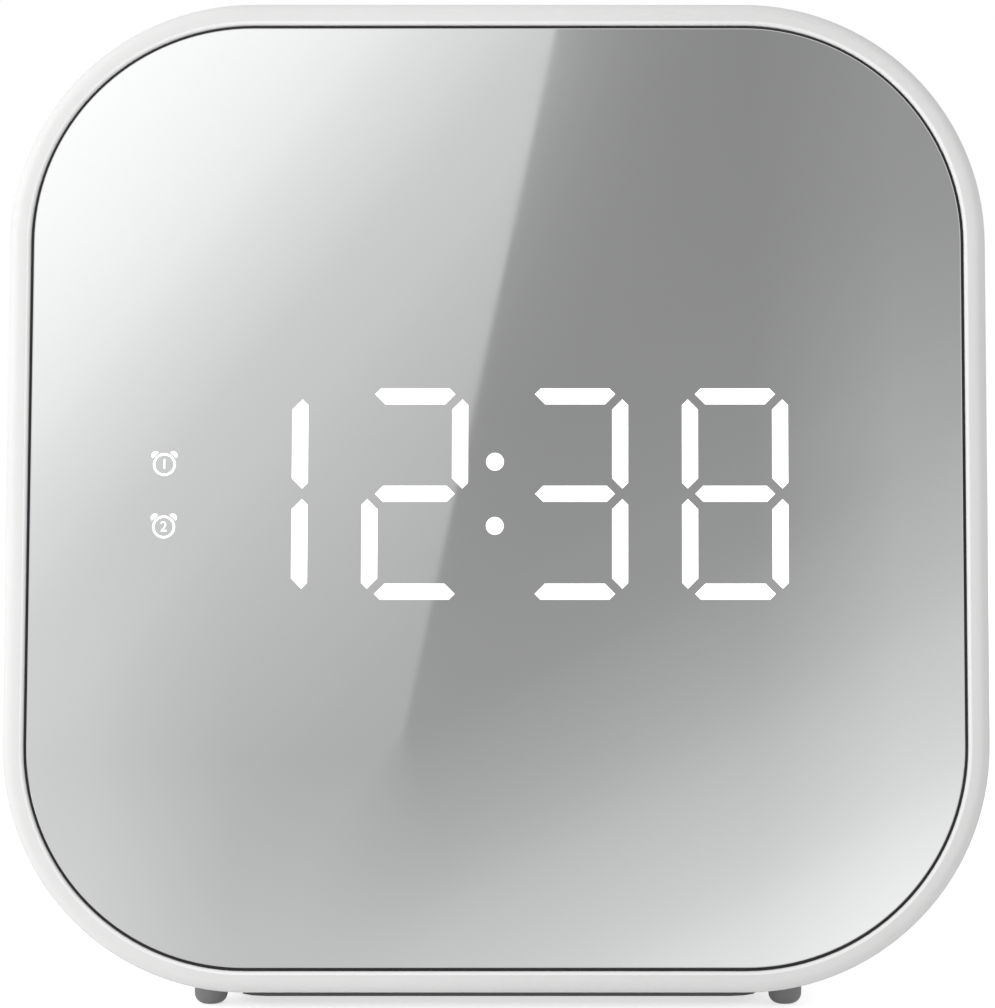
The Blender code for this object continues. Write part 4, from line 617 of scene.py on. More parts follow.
@dataclass(frozen=True)
class Board:
    """Green circuit board with copper tracks under the resist."""

    name: str = "resist_green"

    def make(self) -> bpy.types.Material:
        """Builds the material."""
        made, graph, shader = new_finish(self.name)
        tracks = graph.add("TexBrick")
        tracks.inputs["Scale"].default_value = 260.0
        tracks.inputs["Mortar Size"].default_value = 0.09
        tracks.inputs["Color1"].default_value = (0.012, 0.09, 0.03, 1.0)
        tracks.inputs["Color2"].default_value = (0.016, 0.11, 0.035, 1.0)
        tracks.inputs["Mortar"].default_value = (0.05, 0.24, 0.08, 1.0)
        graph.join(graph.add("TexCoord").outputs["Object"], tracks.inputs["Vector"])
        graph.join(tracks.outputs["Color"], shader.inputs["Base Color"])
        bump = graph.add("Bump")
        bump.inputs["Strength"].default_value = 0.4
        bump.inputs["Distance"].default_value = 0.03 * MM
        graph.join(tracks.outputs["Fac"], bump.inputs["Height"])
        graph.join(bump.outputs["Normal"], shader.inputs["Normal"])
        shader.inputs["Roughness"].default_value = 0.3
        return made


WHITE = Moulding("satin_white", (0.83, 0.83, 0.825), (0.80, 0.80, 0.795), subsurface=0.08)
# The lip's white is lighter than the shell's: a painted highlight along the rim's inner edge, and it is glossier
# besides.
LIP_HIGHLIGHT_WHITE = Moulding("white_painted_highlight", (0.97, 0.97, 0.965), (0.95, 0.95, 0.945), (0.15, 0.2), depth=0.002)
BASE_GREY = Moulding("eroded_grey", (0.14, 0.141, 0.145), (0.16, 0.16, 0.165), (0.5, 0.65), 2600.0, 0.03, 0.6)
BLACK = Moulding("satin_black", (0.012, 0.012, 0.013), (0.018, 0.018, 0.019), (0.4, 0.55), 4000.0)
FOAM = Moulding("black_foam", (0.03, 0.03, 0.03), (0.045, 0.045, 0.045), (0.85, 0.95), 3500.0, 0.05, 0.8)
GREY_RUBBER = Moulding(
    "grey_silicone", (0.30, 0.30, 0.305), (0.26, 0.26, 0.265), (0.6, 0.75), 3000.0, 0.02, 0.5, sheen=0.2
)
BLACK_RUBBER = Moulding(
    "black_rubber_skin", (0.02, 0.02, 0.02), (0.03, 0.03, 0.03), (0.65, 0.8), 3000.0, 0.02, 0.5, sheen=0.2
)
MILKY = Moulding("milky_plastic", (0.85, 0.85, 0.83), (0.8, 0.8, 0.78), (0.3, 0.4), 5000.0)
FIBRE = Moulding("pressed_fibre", (0.03, 0.03, 0.032), (0.05, 0.05, 0.052), (0.85, 0.95), 1800.0, 0.08, 0.9)
JACKET = Moulding("cell_jacket_blue", (0.03, 0.07, 0.13), (0.04, 0.09, 0.17), (0.25, 0.35), 6000.0, 0.004)
RIBBON = Moulding("ribbon_ivory", (0.6, 0.6, 0.56), (0.5, 0.5, 0.47), (0.3, 0.45), 2500.0)
PRINT = Moulding("grey_print", (0.17, 0.17, 0.175), (0.2, 0.2, 0.205), (0.45, 0.55), 6000.0, 0.004)
NICKEL = Metal("nickel_plate", (0.62, 0.61, 0.58), (0.54, 0.53, 0.51))
ZINC = Metal("zinc_plate", (0.52, 0.53, 0.54), (0.42, 0.42, 0.43), (0.28, 0.45))
BRASS = Metal("turned_brass", (0.76, 0.58, 0.28), (0.66, 0.5, 0.24))


class Finishes:
    """Every finish, each made once."""

    def __init__(self) -> None:
        """Starts with none made."""
        self.made: dict[str, bpy.types.Material] = {}

    def get(self, finish: object) -> bpy.types.Material:
        """The material of a finish."""
        if finish.name not in self.made:
            self.made[finish.name] = finish.make()
        return self.made[finish.name]


# ---------------------------------------------------------------- shell
@dataclass
class FrontHousing:
    """The white shell with its rounded rim, the mirror's recess and the openings for keys, base and feet."""

    corner: float = SHELL_CORNER
    lean_room: float = 3.0
    wall: float = 2.2
    rim: float = 2.35
    rim_round: float = 1.25
    inner_round: float = 0.4
    recess: float = 5.4
    hollow_front: float = -13.6
    rear_round: float = 0.2
    key_gap: float = 0.3
    key_chamfer: float = 0.25
    base_gap: float = 0.3
    base_top: float = 4.65
    base_corner: float = 3.3
    socket_radius: float = 2.0
    beyond: float = 3.0

    def build(self) -> bpy.types.Object:
        """Models the shell from a block. Returns it."""
        low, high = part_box("front_housing")
        shell = block("housing_shell", Vector((low.x, low.y - self.lean_room * MM, low.z)), high)
        normal = FACE.normal()
        centre = FACE.centre()

        def on_rim(a: Vector, b: Vector, test: Callable[[Vector, Vector], bool]) -> bool:
            """Whether both ends of an edge lie in the face and pass a test on their inset."""
            return all(abs((end - centre).dot(normal)) < 2 * HAIR and test(end, high) for end in (a, b))

        with Bench(shell) as bench:
            bench.pick_edges(lambda a, b: abs(a.y - b.y) > 5 * MM)
            bench.bevel(self.corner, 30)
            bench.slice(centre, normal)
            bench.pick_faces(lambda middle, way: way.dot(normal) > 0.999)
            bench.inset(self.rim)
            bench.extrude(-normal * self.recess * MM)
            bench.pick_edges(lambda a, b: on_rim(a, b, self.is_outer))
            bench.bevel(self.rim_round, 6)
            bench.pick_edges(lambda a, b: on_rim(a, b, self.is_inner))
            bench.bevel(self.inner_round, 3)
            bench.pick_faces(lambda middle, way: way.y > 0.999 and middle.y > high.y - 0.1 * MM)
            bench.inset(self.wall)
            bench.extrude(Vector((0.0, self.hollow_front * MM - high.y, 0.0)))
            bench.pick_edges(
                lambda a, b: self.is_outer(a, high) and self.is_outer(b, high) and min(a.y, b.y) > high.y - HAIR
            )
            bench.bevel(self.rear_round, 2)
        self.cut_keys(shell)
        self.cut_floor(shell)
        return settle(shell, 30.0)

    def polish(self, shell: bpy.types.Object, finish: bpy.types.Material) -> None:
        """Gives the round on the rim's inner edge its own finish, a lighter white that is a painted highlight.
        """
        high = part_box("front_housing")[1]
        shell.data.materials.append(finish)
        reach = (self.rim - self.inner_round - 0.05, self.rim + 0.1)
        with Bench(shell) as bench:
            bench.pick_faces(
                lambda middle, way: abs((middle - FACE.centre()).dot(FACE.normal())) < self.inner_round * MM
                and reach[0] < self.inset_of(middle, high) < reach[1]
            )
            shell.active_material_index = len(shell.material_slots) - 1
            bpy.ops.object.material_slot_assign()

    def inset_of(self, point: Vector, high: Vector) -> float:
        """How far a point is in from the shell's outline, seen from the front, in millimetres."""
        across = abs(point.x) / MM - (high.x / MM - self.corner)
        up = abs(point.z / MM - SHELL_MIDDLE) - ((SHELL_TOP - SHELL_BOTTOM) / 2 - self.corner)
        reach = math.hypot(max(across, 0.0), max(up, 0.0)) + min(max(across, up), 0.0)
        return self.corner - reach

    def is_outer(self, point: Vector, high: Vector) -> bool:
        """Whether a point is on the outline."""
        return self.inset_of(point, high) < 0.4

    def is_inner(self, point: Vector, high: Vector) -> bool:
        """Whether a point is on the rim's inner edge."""
        return 1.9 < self.inset_of(point, high) < 2.8

    def cut_keys(self, shell: bpy.types.Object) -> None:
        """Cuts a chamfered opening round each key."""
        flare = self.key_chamfer + 0.1
        for node in KEY_SIGNS:
            low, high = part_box(node)
            width = (high.x - low.x) / MM - 2 * KEY_FLANGE + 2 * self.key_gap
            depth = (high.y - low.y) / MM - 2 * KEY_FLANGE + 2 * self.key_gap
            tool = pill(f"{node}_opening", (width, depth), SHELL_TOP - 5.0, SHELL_TOP - self.key_chamfer)
            with Bench(tool) as bench:
                bench.pick_faces(lambda middle, way: way.z > 0.9)
                bench.extrude(metres(0.0, 0.0, flare))
                wider = ((width + 2 * flare) / width, (depth + 2 * flare) / depth, 1.0)
                bench.resize(wider, metres(0.0, 0.0, SHELL_TOP))
                bench.extrude(metres(0.0, 0.0, self.beyond))
            tool.location = over(node)
            carve(shell, tool)

    def cut_floor(self, shell: bpy.types.Object) -> None:
        """Cuts the opening for the base panel and a socket for each foot."""
        (left, front), (right, rear) = BASE_PLATE
        gap = self.base_gap
        tool = block(
            "base_opening",
            metres(left - gap, front - gap, -self.beyond),
            metres(right + gap, rear + gap, self.base_top),
        )
        with Bench(tool) as bench:
            bench.pick_edges(lambda a, b: abs(a.z - b.z) > 2 * MM)
            bench.bevel(self.base_corner, 8)
        carve(shell, tool)
        for node in FOOT_NODES:
            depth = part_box(node)[1].z / MM + self.beyond + 0.2
            carve(shell, rod(f"{node}_socket", self.socket_radius, over(node, 0.0, -self.beyond), depth))


BASE_PLATE = ((-27.5, -22.633), (27.5, 13.3))
FOOT_NODES = ("foot_front_left", "foot_front_right", "foot_rear_left", "foot_rear_right")


@dataclass
class RearShell:
    """The white back with its soft edge, the speaker grille, the sockets' openings and deep screw seats."""

    corner: float = SHELL_CORNER
    front: float = 19.15
    front_round: float = 0.2
    back_round: float = 6.0
    side_wall: float = 3.2
    wall: float = 2.2
    column_radius: float = 4.4
    column_start: float = 19.3
    bore_radius: float = 1.5
    seat_radius: float = 2.9
    seat_depth: float = 7.0
    mouth_chamfer: float = 0.3
    screw_reach: Pair = (38.374, 38.724)
    hole_radius: float = 1.2
    pitch: float = 4.2
    grille_radius: float = 17.5
    hole_chamfer: float = 0.15
    speaker_rise: float = 68.3
    jack_radius: float = 4.2
    socket_cut: float = 4.0

    def build(self) -> bpy.types.Object:
        """Models the shell from a block. Returns it."""
        low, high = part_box("rear_shell")
        front = self.front * MM
        shell = block("rear_shell_skin", Vector((low.x, front, low.z)), high)
        with Bench(shell) as bench:
            bench.pick_edges(lambda a, b: abs(a.y - b.y) > 5 * MM)
            bench.bevel(self.corner, 30)
            bench.pick_edges(lambda a, b: min(a.y, b.y) > high.y - HAIR)
            bench.bevel(self.back_round, 10)
            bench.pick_edges(lambda a, b: max(a.y, b.y) < front + HAIR)
            bench.bevel(self.front_round, 2)
            bench.pick_faces(lambda middle, way: way.y < -0.999 and middle.y < front + HAIR)
            bench.inset(self.side_wall)
            bench.extrude(Vector((0.0, high.y - self.wall * MM - front, 0.0)))
        self.add_seats(shell, high.y)
        self.cut_grille(shell, high.y)
        self.cut_sockets(shell, high.y)
        return settle(shell, 30.0)

    def add_seats(self, shell: bpy.types.Object, back: float) -> None:
        """Adds the four screw columns and bores their seats from behind."""
        across, rise = self.screw_reach
        for side in (-1, 1):
            for up in (-1, 1):
                centre = metres(side * across, 0.0, SHELL_MIDDLE + up * rise)
                start = centre + metres(0.0, self.column_start, 0.0)
                length = back / MM - self.column_start - 1.0
                carve(shell, rod("column", self.column_radius, start, length, Axis.BACK), "UNION")
                floor = centre + Vector((0.0, back - self.seat_depth * MM, 0.0))
                depth = self.seat_depth - self.mouth_chamfer
                tool = rod("seat", self.seat_radius, floor, depth, Axis.BACK, 40)
                self.flare(tool, centre, back, self.mouth_chamfer)
                carve(shell, tool)
                carve(shell, rod("bore", self.bore_radius, start - metres(0.0, 1.0, 0.0), 8.0, Axis.BACK, 20))

    def flare(self, tool: bpy.types.Object, centre: Vector, back: float, chamfer: float) -> None:
        """Widens a boring tool's mouth so that it leaves a small chamfer."""
        with Bench(tool) as bench:
            bench.pick_faces(lambda middle, way: way.y > 0.99)
            bench.extrude(metres(0.0, chamfer * 1.4, 0.0))
            size = (tool.dimensions.x / MM + 2.8 * chamfer) / (tool.dimensions.x / MM)
            bench.resize((size, 1.0, size), Vector((centre.x, back, centre.z)))
            bench.extrude(metres(0.0, 1.0, 0.0))

    def cut_grille(self, shell: bpy.types.Object, back: float) -> None:
        """Cuts the round grille: holes on a triangular grid, each with a chamfered mouth."""
        inside = 0.5
        start = Vector((0.0, back - (self.wall + inside) * MM, 0.0))
        depth = self.wall + inside - self.hole_chamfer
        first = rod("grille_tool", self.hole_radius, start, depth, Axis.BACK, 20)
        self.flare(first, Vector(), back, self.hole_chamfer)
        tools = [first]
        row_step = self.pitch * math.sqrt(3) / 2
        rows = int(self.grille_radius / row_step) + 1
        for row in range(-rows, rows + 1):
            for column in range(-rows - 1, rows + 2):
                across = column * self.pitch + (self.pitch / 2 if row % 2 else 0.0)
                rise = row * row_step
                if math.hypot(across, rise) + self.hole_radius > self.grille_radius:
                    continue
                tools.append(copy_of(first, "grille_tool", metres(across, 0.0, self.speaker_rise + rise)))
        bpy.data.objects.remove(tools.pop(0), do_unlink=True)
        carve(shell, merge("grille_tools", tools))

    def cut_sockets(self, shell: bpy.types.Object, back: float) -> None:
        """Cuts the openings for the USB socket, the supply jack and the aerial's bush."""
        for node, grow, round_corner in (("usb_shell", 0.3, 0.9), ("aerial_gland", -0.9, 0.0)):
            low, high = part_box(node)
            middle = (low + high) / 2
            size = (high - low) / MM + Vector((2 * grow, 0.0, 2 * grow))
            start = Vector((middle.x, back - self.socket_cut * MM, middle.z))
            if round_corner:
                tool = slab("socket_tool", (size.x, 6.0, size.z), round_corner, 6)
                tool.location = start
            else:
                tool = rod("bush_tool", size.x / 2, start, 6.0, Axis.BACK, 32)
            carve(shell, tool)
        low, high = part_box("jack_body")
        centre = Vector(((low.x + high.x) / 2, 0.0, (low.z + high.z) / 2))
        start = centre + Vector((0.0, back - self.socket_cut * MM, 0.0))
        depth = self.socket_cut - self.mouth_chamfer
        tool = rod("jack_tool", self.jack_radius, start, depth, Axis.BACK, 40)
        self.flare(tool, centre, back, self.mouth_chamfer)
        carve(shell, tool)


# ---------------------------------------------------------------- mirror face
@dataclass
class MirrorPlate:
    """The mirror and the black foam tape, whose black lip fills the gap round the mirror as painted shade."""

    width: float = 97.7
    height: float = 98.78
    corner: float = 22.85
    set_back: float = 0.1
    thickness: float = 2.0
    polish: float = 0.12
    gap: float = 0.28
    tape_thickness: float = 2.35
    tape_step: float = 1.8
    tape_width: float = 5.5
    tape_set_back: float = 0.45
    slack: float = 0.01

    def build(self) -> bpy.types.Object:
        """Models the plate with softened front edges. Returns it."""
        plate = slab("mirror_pane", (self.width, self.thickness, self.height), self.corner, 36)
        with Bench(plate) as bench:
            bench.pick_edges(lambda a, b: max(a.y, b.y) < HAIR)
            bench.bevel(self.polish, 2)
        FACE.lay(plate, depth=self.set_back)
        return settle(plate, 8.0)

    def build_tape(self) -> bpy.types.Object:
        """Models the foam tape, with the black lip that fills the gap behind the mirror's edge as painted shade.
        Returns it.
        """
        tape = self.grown("foam_tape_painted_gap_shade", self.gap, self.tape_thickness)
        carve(tape, self.grown("tape_step", self.slack, self.tape_step))
        inner = self.grown("tape_hole", -self.tape_width, 6.0)
        inner.location.y = -2 * MM
        carve(tape, inner)
        FACE.lay(tape, depth=self.tape_set_back)
        return settle(tape, 25.0)

    def grown(self, name: str, growth: float, thickness: float) -> bpy.types.Object:
        """A plate with the mirror's outline grown all round. Sizes are in millimetres. Returns it."""
        size = (self.width + 2 * growth, thickness, self.height + 2 * growth)
        return slab(name, size, self.corner + growth, 36)


class Segment(Enum):
    """The seven segments of a digit, named by place."""

    TOP = "a"
    UPPER_RIGHT = "b"
    LOWER_RIGHT = "c"
    BOTTOM = "d"
    LOWER_LEFT = "e"
    UPPER_LEFT = "f"
    CENTRE = "g"


SEGMENTS_LIT = {"1": "bc", "2": "abged", "3": "abgcd", "8": "abcdefg"}


@dataclass
class LitTime:
    """The lit digits, colon and alarm signs, as light windows flush with the mirror's surface."""

    time: str = "12:38"
    centre: Pair = (-0.17, -0.17)
    pitch: float = 16.77
    width: float = 11.13
    height: float = 22.2
    stroke: float = 1.68
    space: float = 0.55
    bar_space: float = 0.75
    tip: float = 0.36
    colon_rise: float = 3.37
    colon_radius: float = 0.93
    icon_across: float = -34.8
    icon_rise: float = 3.28
    icon_drop: float = 0.2
    icon_ring: Pair = (1.19, 0.97)
    bell_radius: float = 0.43
    bell_place: Pair = (0.93, 0.97)
    bell_turn: float = 42.0
    number_size: float = 1.5
    proud: float = 0.03
    sink: float = 0.05
    surface: float = 0.1

    def build(self) -> bpy.types.Object:
        """Models every lit window and joins them. Returns the piece."""
        parts: list[bpy.types.Object] = []
        for place, digit in enumerate(self.time.replace(":", "")):
            across = (place - 1.5) * self.pitch
            parts += [self.segment(Segment(letter), across) for letter in SEGMENTS_LIT[digit]]
        for up in (-1, 1):
            dot = rod("colon_dot", self.colon_radius, Vector(), self.sink + self.proud, Axis.BACK, 40)
            dot.location.z = up * self.colon_rise * MM
            parts.append(dot)
        for label, up in (("1", 1), ("2", -1)):
            parts += self.alarm_sign(label, up * self.icon_rise - self.icon_drop)
        for part in parts:
            apply_place(part)
        windows = merge("lit_windows", parts)
        FACE.lay(windows, self.centre[0], self.surface - self.proud, self.centre[1])
        return settle(windows, 20.0)

    def bar(self, length: float, outer_tip: float) -> bpy.types.Object:
        """A window along X with pointed ends. Args: length; outer_tip, 0 for tips at its +Z side. Returns it."""
        half = self.stroke / 2
        bar = block("window", metres(-length / 2, 0.0, -half), metres(length / 2, self.sink + self.proud, half))
        with Bench(bar) as bench:
            bench.pick_edges(lambda a, b: abs(a.y - b.y) > HAIR and a.z < 0)
            bench.bevel(self.stroke * (1 - outer_tip) - 0.004)
            bench.pick_edges(lambda a, b: abs(a.y - b.y) > HAIR and a.z > half * MM - HAIR)
            bench.bevel(self.stroke * outer_tip)
        return bar

    def segment(self, which: Segment, across: float) -> bpy.types.Object:
        """One lit segment of a digit. Args: which segment; across, the digit's middle. Returns the window."""
        half_width, half_height, half_stroke = self.width / 2, self.height / 2, self.stroke / 2
        reach_out = self.tip * self.stroke
        if which is Segment.CENTRE:
            window = self.bar(2 * (half_width - half_stroke - self.space), 0.5)
            place = (0.0, 0.0)
        elif which in (Segment.TOP, Segment.BOTTOM):
            window = self.bar(2 * (half_width - reach_out - self.bar_space), self.tip)
            turned = which is Segment.BOTTOM
            window.rotation_euler.y = math.pi if turned else 0.0
            place = (0.0, (-1 if turned else 1) * (half_height - half_stroke))
        else:
            right = which in (Segment.UPPER_RIGHT, Segment.LOWER_RIGHT)
            upper = which in (Segment.UPPER_RIGHT, Segment.UPPER_LEFT)
            span = half_height - reach_out - 2 * self.space
            window = self.bar(span, self.tip)
            window.rotation_euler.y = math.pi / 2 if right else -math.pi / 2
            rise = self.space + span / 2
            place = ((1 if right else -1) * (half_width - half_stroke), rise if upper else -rise)
        window.location = metres(across + place[0], 0.0, place[1])
        return window

    def alarm_sign(self, label: str, rise: float) -> list[bpy.types.Object]:
        """A tiny alarm clock: a ring, two bells and the alarm's number. Returns its parts."""
        thick = self.sink + self.proud
        parts = [ring("clock_ring", *self.icon_ring, thick)]
        across, up = self.bell_place
        for side in (-1, 1):
            bell = rod("bell", self.bell_radius, Vector(), thick, Axis.BACK, 24)
            with Bench(bell) as bench:
                bench.slice(Vector(), Vector((0.0, 0.0, -1.0)))
            bell.rotation_euler.y = side * math.radians(self.bell_turn)
            bell.location = metres(side * across, 0.0, up)
            parts.append(bell)
        parts.append(number_print(label, self.number_size, thick))
        for part in parts:
            part.location += metres(self.icon_across - self.centre[0], 0.0, rise)
        return parts


# ---------------------------------------------------------------- keys
class Sign(Enum):
    """What is printed on a key."""

    MOON = "moon"
    LEFT = "left"
    RIGHT = "right"
    MINUS = "minus"
    PLUS = "plus"
    POWER = "power"
    ONE = "1"
    TWO = "2"
    CLOCK = "clock"


STEM_SPREAD = 44.0 / 3
STEM_PLACES = {"snooze_key": (-STEM_SPREAD, STEM_SPREAD)}
KEY_SIGNS = {
    "snooze_key": Sign.MOON,
    "tune_down_key": Sign.LEFT,
    "tune_up_key": Sign.RIGHT,
    "volume_down_key": Sign.MINUS,
    "volume_up_key": Sign.PLUS,
    "power_key": Sign.POWER,
    "alarm_one_key": Sign.ONE,
    "alarm_two_key": Sign.TWO,
    "set_key": Sign.CLOCK,
}


@dataclass
class Key:
    """One key cap with its flange, a soft top edge and a printed sign."""

    node: str
    sign: Sign
    flange_low: float = 102.5
    flange_high: float = 103.5
    stem_radius: float = 1.1
    stem_overlap: float = 0.4
    edge: float = 0.45
    lip: float = 0.35
    dish: Pair = (0.5, 0.1)
    ink: float = 0.03
    line: float = 0.32

    def build(self) -> bpy.types.Object:
        """Models the cap from a pill. Returns it."""
        low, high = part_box(self.node)
        size = (high - low) / MM
        top = (size.x - 2 * KEY_FLANGE, size.y - 2 * KEY_FLANGE)
        cap = pill(f"{self.node}_cap", top, self.flange_high, high.z / MM, 14)
        with Bench(cap) as bench:
            bench.pick_edges(lambda a, b: min(a.z, b.z) > high.z - HAIR)
            bench.bevel(self.edge, 5)
            bench.pick_faces(lambda middle, way: way.z > 0.999)
            bench.inset(self.lip)
            bench.inset(*self.dish)
        carve(cap, pill("flange", (size.x, size.y), self.flange_low, self.flange_high, 14), "UNION")
        start = low.z / MM
        length = self.flange_low + self.stem_overlap - start
        for across in STEM_PLACES.get(self.node, (0.0,)):
            stem = rod("stem", self.stem_radius, metres(across, 0.0, start), length, Axis.UP, 24)
            carve(cap, stem, "UNION")
        cap.location = over(self.node)
        return settle(cap, 24.0)

    def build_sign(self) -> bpy.types.Object:
        """Models the printed sign as a film on the key's top. Returns it."""
        sign = merge(f"{self.node}_print", self.sign_parts())
        sign.rotation_euler = (-math.pi / 2, 0.0, 0.0)
        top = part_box(self.node)[1].z / MM - self.dish[1]
        sign.location = over(self.node, 0.0, top + self.ink)
        return settle(sign, 20.0)

    def stick(self, across: float, up: float, place: Pair = (0.0, 0.0), turn: float = 0.0) -> bpy.types.Object:
        """A short printed stroke in XZ. Args: sizes and place in millimetres; turn in degrees. Returns it."""
        stroke = slab("stroke", (across, 2 * self.ink, up), min(across, up) / 2 - 0.004, 4)
        stroke.rotation_euler.y = math.radians(turn)
        stroke.location = metres(place[0], 0.0, place[1])
        return stroke

    def sign_parts(self) -> list[bpy.types.Object]:
        """The separate shapes of this key's sign."""
        thick = 2 * self.ink
        if self.sign is Sign.MINUS:
            parts = [self.stick(1.9, self.line)]
        elif self.sign is Sign.PLUS:
            parts = [self.stick(1.9, self.line)]
            parts += [self.stick(self.line, 0.79, (0.0, up)) for up in (0.56, -0.56)]
        elif self.sign in (Sign.LEFT, Sign.RIGHT):
            side = 1 if self.sign is Sign.LEFT else -1
            parts = []
            for offset in (-0.55, 0.55):
                arrow = rod("arrow", 0.72, Vector(), thick, Axis.BACK, 3)
                arrow.rotation_euler.y = side * math.pi / 2
                arrow.location = metres(offset, 0.0, 0.0)
                parts.append(arrow)
        elif self.sign is Sign.POWER:
            parts = [ring("power_ring", 1.0, 0.74, thick, 62.0), self.stick(0.26, 1.0, (0.0, 0.72))]
        elif self.sign is Sign.CLOCK:
            hands = [self.stick(0.2, 0.6, (0.0, 0.3)), self.stick(0.42, 0.2, (0.36, -0.02))]
            parts = [ring("clock_ring", 1.05, 0.82, thick), *hands]
        elif self.sign is Sign.MOON:
            moon = rod("moon", 1.15, Vector(), thick, Axis.BACK, 40)
            carve(moon, rod("bite", 0.98, metres(0.5, -1.0, 0.28), 3.0, Axis.BACK, 40))
            parts = [moon]
        else:
            parts = self.number_sign(self.sign.value, thick)
        return [apply_place(part) for part in parts]

    def number_sign(self, label: str, thick: float) -> list[bpy.types.Object]:
        """A ring with two slanting strokes for bells, round a number. Returns its parts."""
        bells = [self.stick(0.75, 0.24, (side * 0.98, 1.08), side * 42) for side in (-1, 1)]
        return [ring("alarm_ring", 1.15, 0.93, thick), *bells, number_print(label, 1.6, thick)]


@dataclass
class Keypad:
    """The silicone sheet under the keys and its domes under the stems."""

    sheet_top: float = 99.2
    corner: float = 2.0
    dome_radius: float = 2.4
    dome_height: float = 1.5
    crown: float = 0.6
    squeezed: float = 0.65

    def build(self) -> bpy.types.Object:
        """Models the sheet from a block. Returns it."""
        low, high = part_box("keypad_membrane")
        sheet = block("keypad_sheet", low, Vector((high.x, high.y, self.sheet_top * MM)))
        with Bench(sheet) as bench:
            bench.pick_edges(lambda a, b: abs(a.z - b.z) > 0.3 * MM)
            bench.bevel(self.corner, 8)
        return settle(sheet)

    def build_dome(self, name: str, foot: Vector) -> bpy.types.Object:
        """Models one dome under a stem. Args: name; foot, the middle of its foot in metres. Returns it."""
        dome = rod(name, self.dome_radius, foot, self.dome_height, Axis.UP, 32)
        top = self.sheet_top + self.dome_height - 0.01
        with Bench(dome) as bench:
            bench.pick_faces(lambda middle, way: way.z > 0.9)
            bench.resize((self.crown, self.crown, 1.0), foot)
            bench.pick_edges(lambda a, b: min(a.z, b.z) > top * MM)
            bench.bevel(0.2, 3)
        return settle(dome)


# ---------------------------------------------------------------- underside
@dataclass
class BatteryDoor:
    """The door under the cells: a ribbed panel with a finger notch, a latch tab and its two hinge pins."""

    thickness: float = 1.8
    pin_radius: float = 0.6
    pin_length: float = 1.0
    edge: float = 0.15
    notch_radius: float = 4.5
    notch_depth: float = 0.6
    ribs: int = 5
    rib_pitch: float = 1.4
    rib_start: float = 6.6
    rib_width: float = 0.6
    rib_depth: float = 0.25

    def build(self) -> bpy.types.Object:
        """Models the door from a block. Returns it."""
        low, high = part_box("battery_door")
        pin, bottom = self.pin_length, low.z
        start = low + metres(pin, 0.0, 0.0)
        end = Vector((high.x - pin * MM, high.y, bottom + self.thickness * MM))
        door = block("door_panel", start, end)
        front, rear = start.y, end.y

        def rounded(a: Vector, b: Vector) -> bool:
            """Whether an edge is at the rear or along a lower side."""
            return min(a.y, b.y) > rear - HAIR or (max(a.z, b.z) < bottom + HAIR and abs(a.y - b.y) > 5 * MM)

        with Bench(door) as bench:
            bench.pick_edges(lambda a, b: max(a.y, b.y) < front + HAIR and abs(a.x - b.x) > MM)
            bench.bevel(self.thickness / 2 - 0.01, 6)
            bench.pick_edges(rounded)
            bench.bevel(self.edge, 2)
        half = self.thickness * MM / 2
        hinge = Vector((start.x - pin * MM, front + half, bottom + half))
        length = (end.x - start.x) / MM + 2 * pin
        carve(door, rod("hinge_pin", self.pin_radius, hinge, length, Axis.RIGHT, 20), "UNION")
        edge = Vector((0.0, rear, bottom))
        tab = block("latch_tab", edge + metres(-4.5, -1.0, 0.5), Vector((4.5 * MM, rear - 0.3 * MM, high.z)))
        carve(door, tab, "UNION")
        below = edge - metres(0.0, 0.0, 1.0)
        carve(door, rod("notch", self.notch_radius, below, 1.0 + self.notch_depth, Axis.UP, 48))
        for line in range(self.ribs):
            near = self.rib_start + self.rib_pitch * line
            groove = block(
                "groove",
                edge + metres(-6.0, -near - self.rib_width, -1.0),
                edge + metres(6.0, -near, self.rib_depth),
            )
            carve(door, groove)
        return settle(door, 30.0)


@dataclass
class Foot:
    """A domed silicone foot with a small flat tip."""

    node: str
    radius: float = 1.75
    flat: float = 0.6

    def build(self) -> bpy.types.Object:
        """Models the foot from a cylinder. Returns it."""
        low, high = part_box(self.node)
        height = (high.z - low.z) / MM
        foot = rod(f"{self.node}_dome", self.radius, over(self.node, 0.0, low.z / MM), height, Axis.UP, 48)
        with Bench(foot) as bench:
            bench.pick_edges(lambda a, b: max(a.z, b.z) < low.z + HAIR)
            bench.bevel(self.radius - self.flat, 8)
        return settle(foot, 40.0)


# ---------------------------------------------------------------- back fittings
@dataclass
class RearScrew:
    """A pan-head screw with a cross recess, deep in its seat."""

    node: str
    head: float = 2.6
    height: float = 1.82
    head_round: float = 0.9
    slot: Pair = (1.5, 0.33)
    slot_depth: float = 1.0
    shank: float = 1.2

    def build(self) -> bpy.types.Object:
        """Models the screw from a cylinder. Returns it."""
        low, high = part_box(self.node)
        middle = (low + high) / 2
        seat = high.y - self.height * MM
        under = Vector((middle.x, seat, middle.z))
        screw = rod(f"{self.node}_head", self.head, under, self.height, Axis.BACK, 40)
        with Bench(screw) as bench:
            bench.pick_edges(lambda a, b: min(a.y, b.y) > high.y - HAIR)
            bench.bevel(self.head_round, 5)
        reach, half = self.slot
        for turn in (0.0, math.pi / 2):
            groove = block("groove", metres(-reach, 0.0, -half), metres(reach, 2.0, half))
            groove.rotation_euler.y = turn
            groove.location = Vector((middle.x, high.y - self.slot_depth * MM, middle.z))
            carve(screw, groove)
        length = (seat - low.y) / MM + 0.1
        start = Vector((middle.x, low.y, middle.z))
        carve(screw, rod("shank", self.shank, start, length, Axis.BACK, 24), "UNION")
        return settle(screw, 30.0)


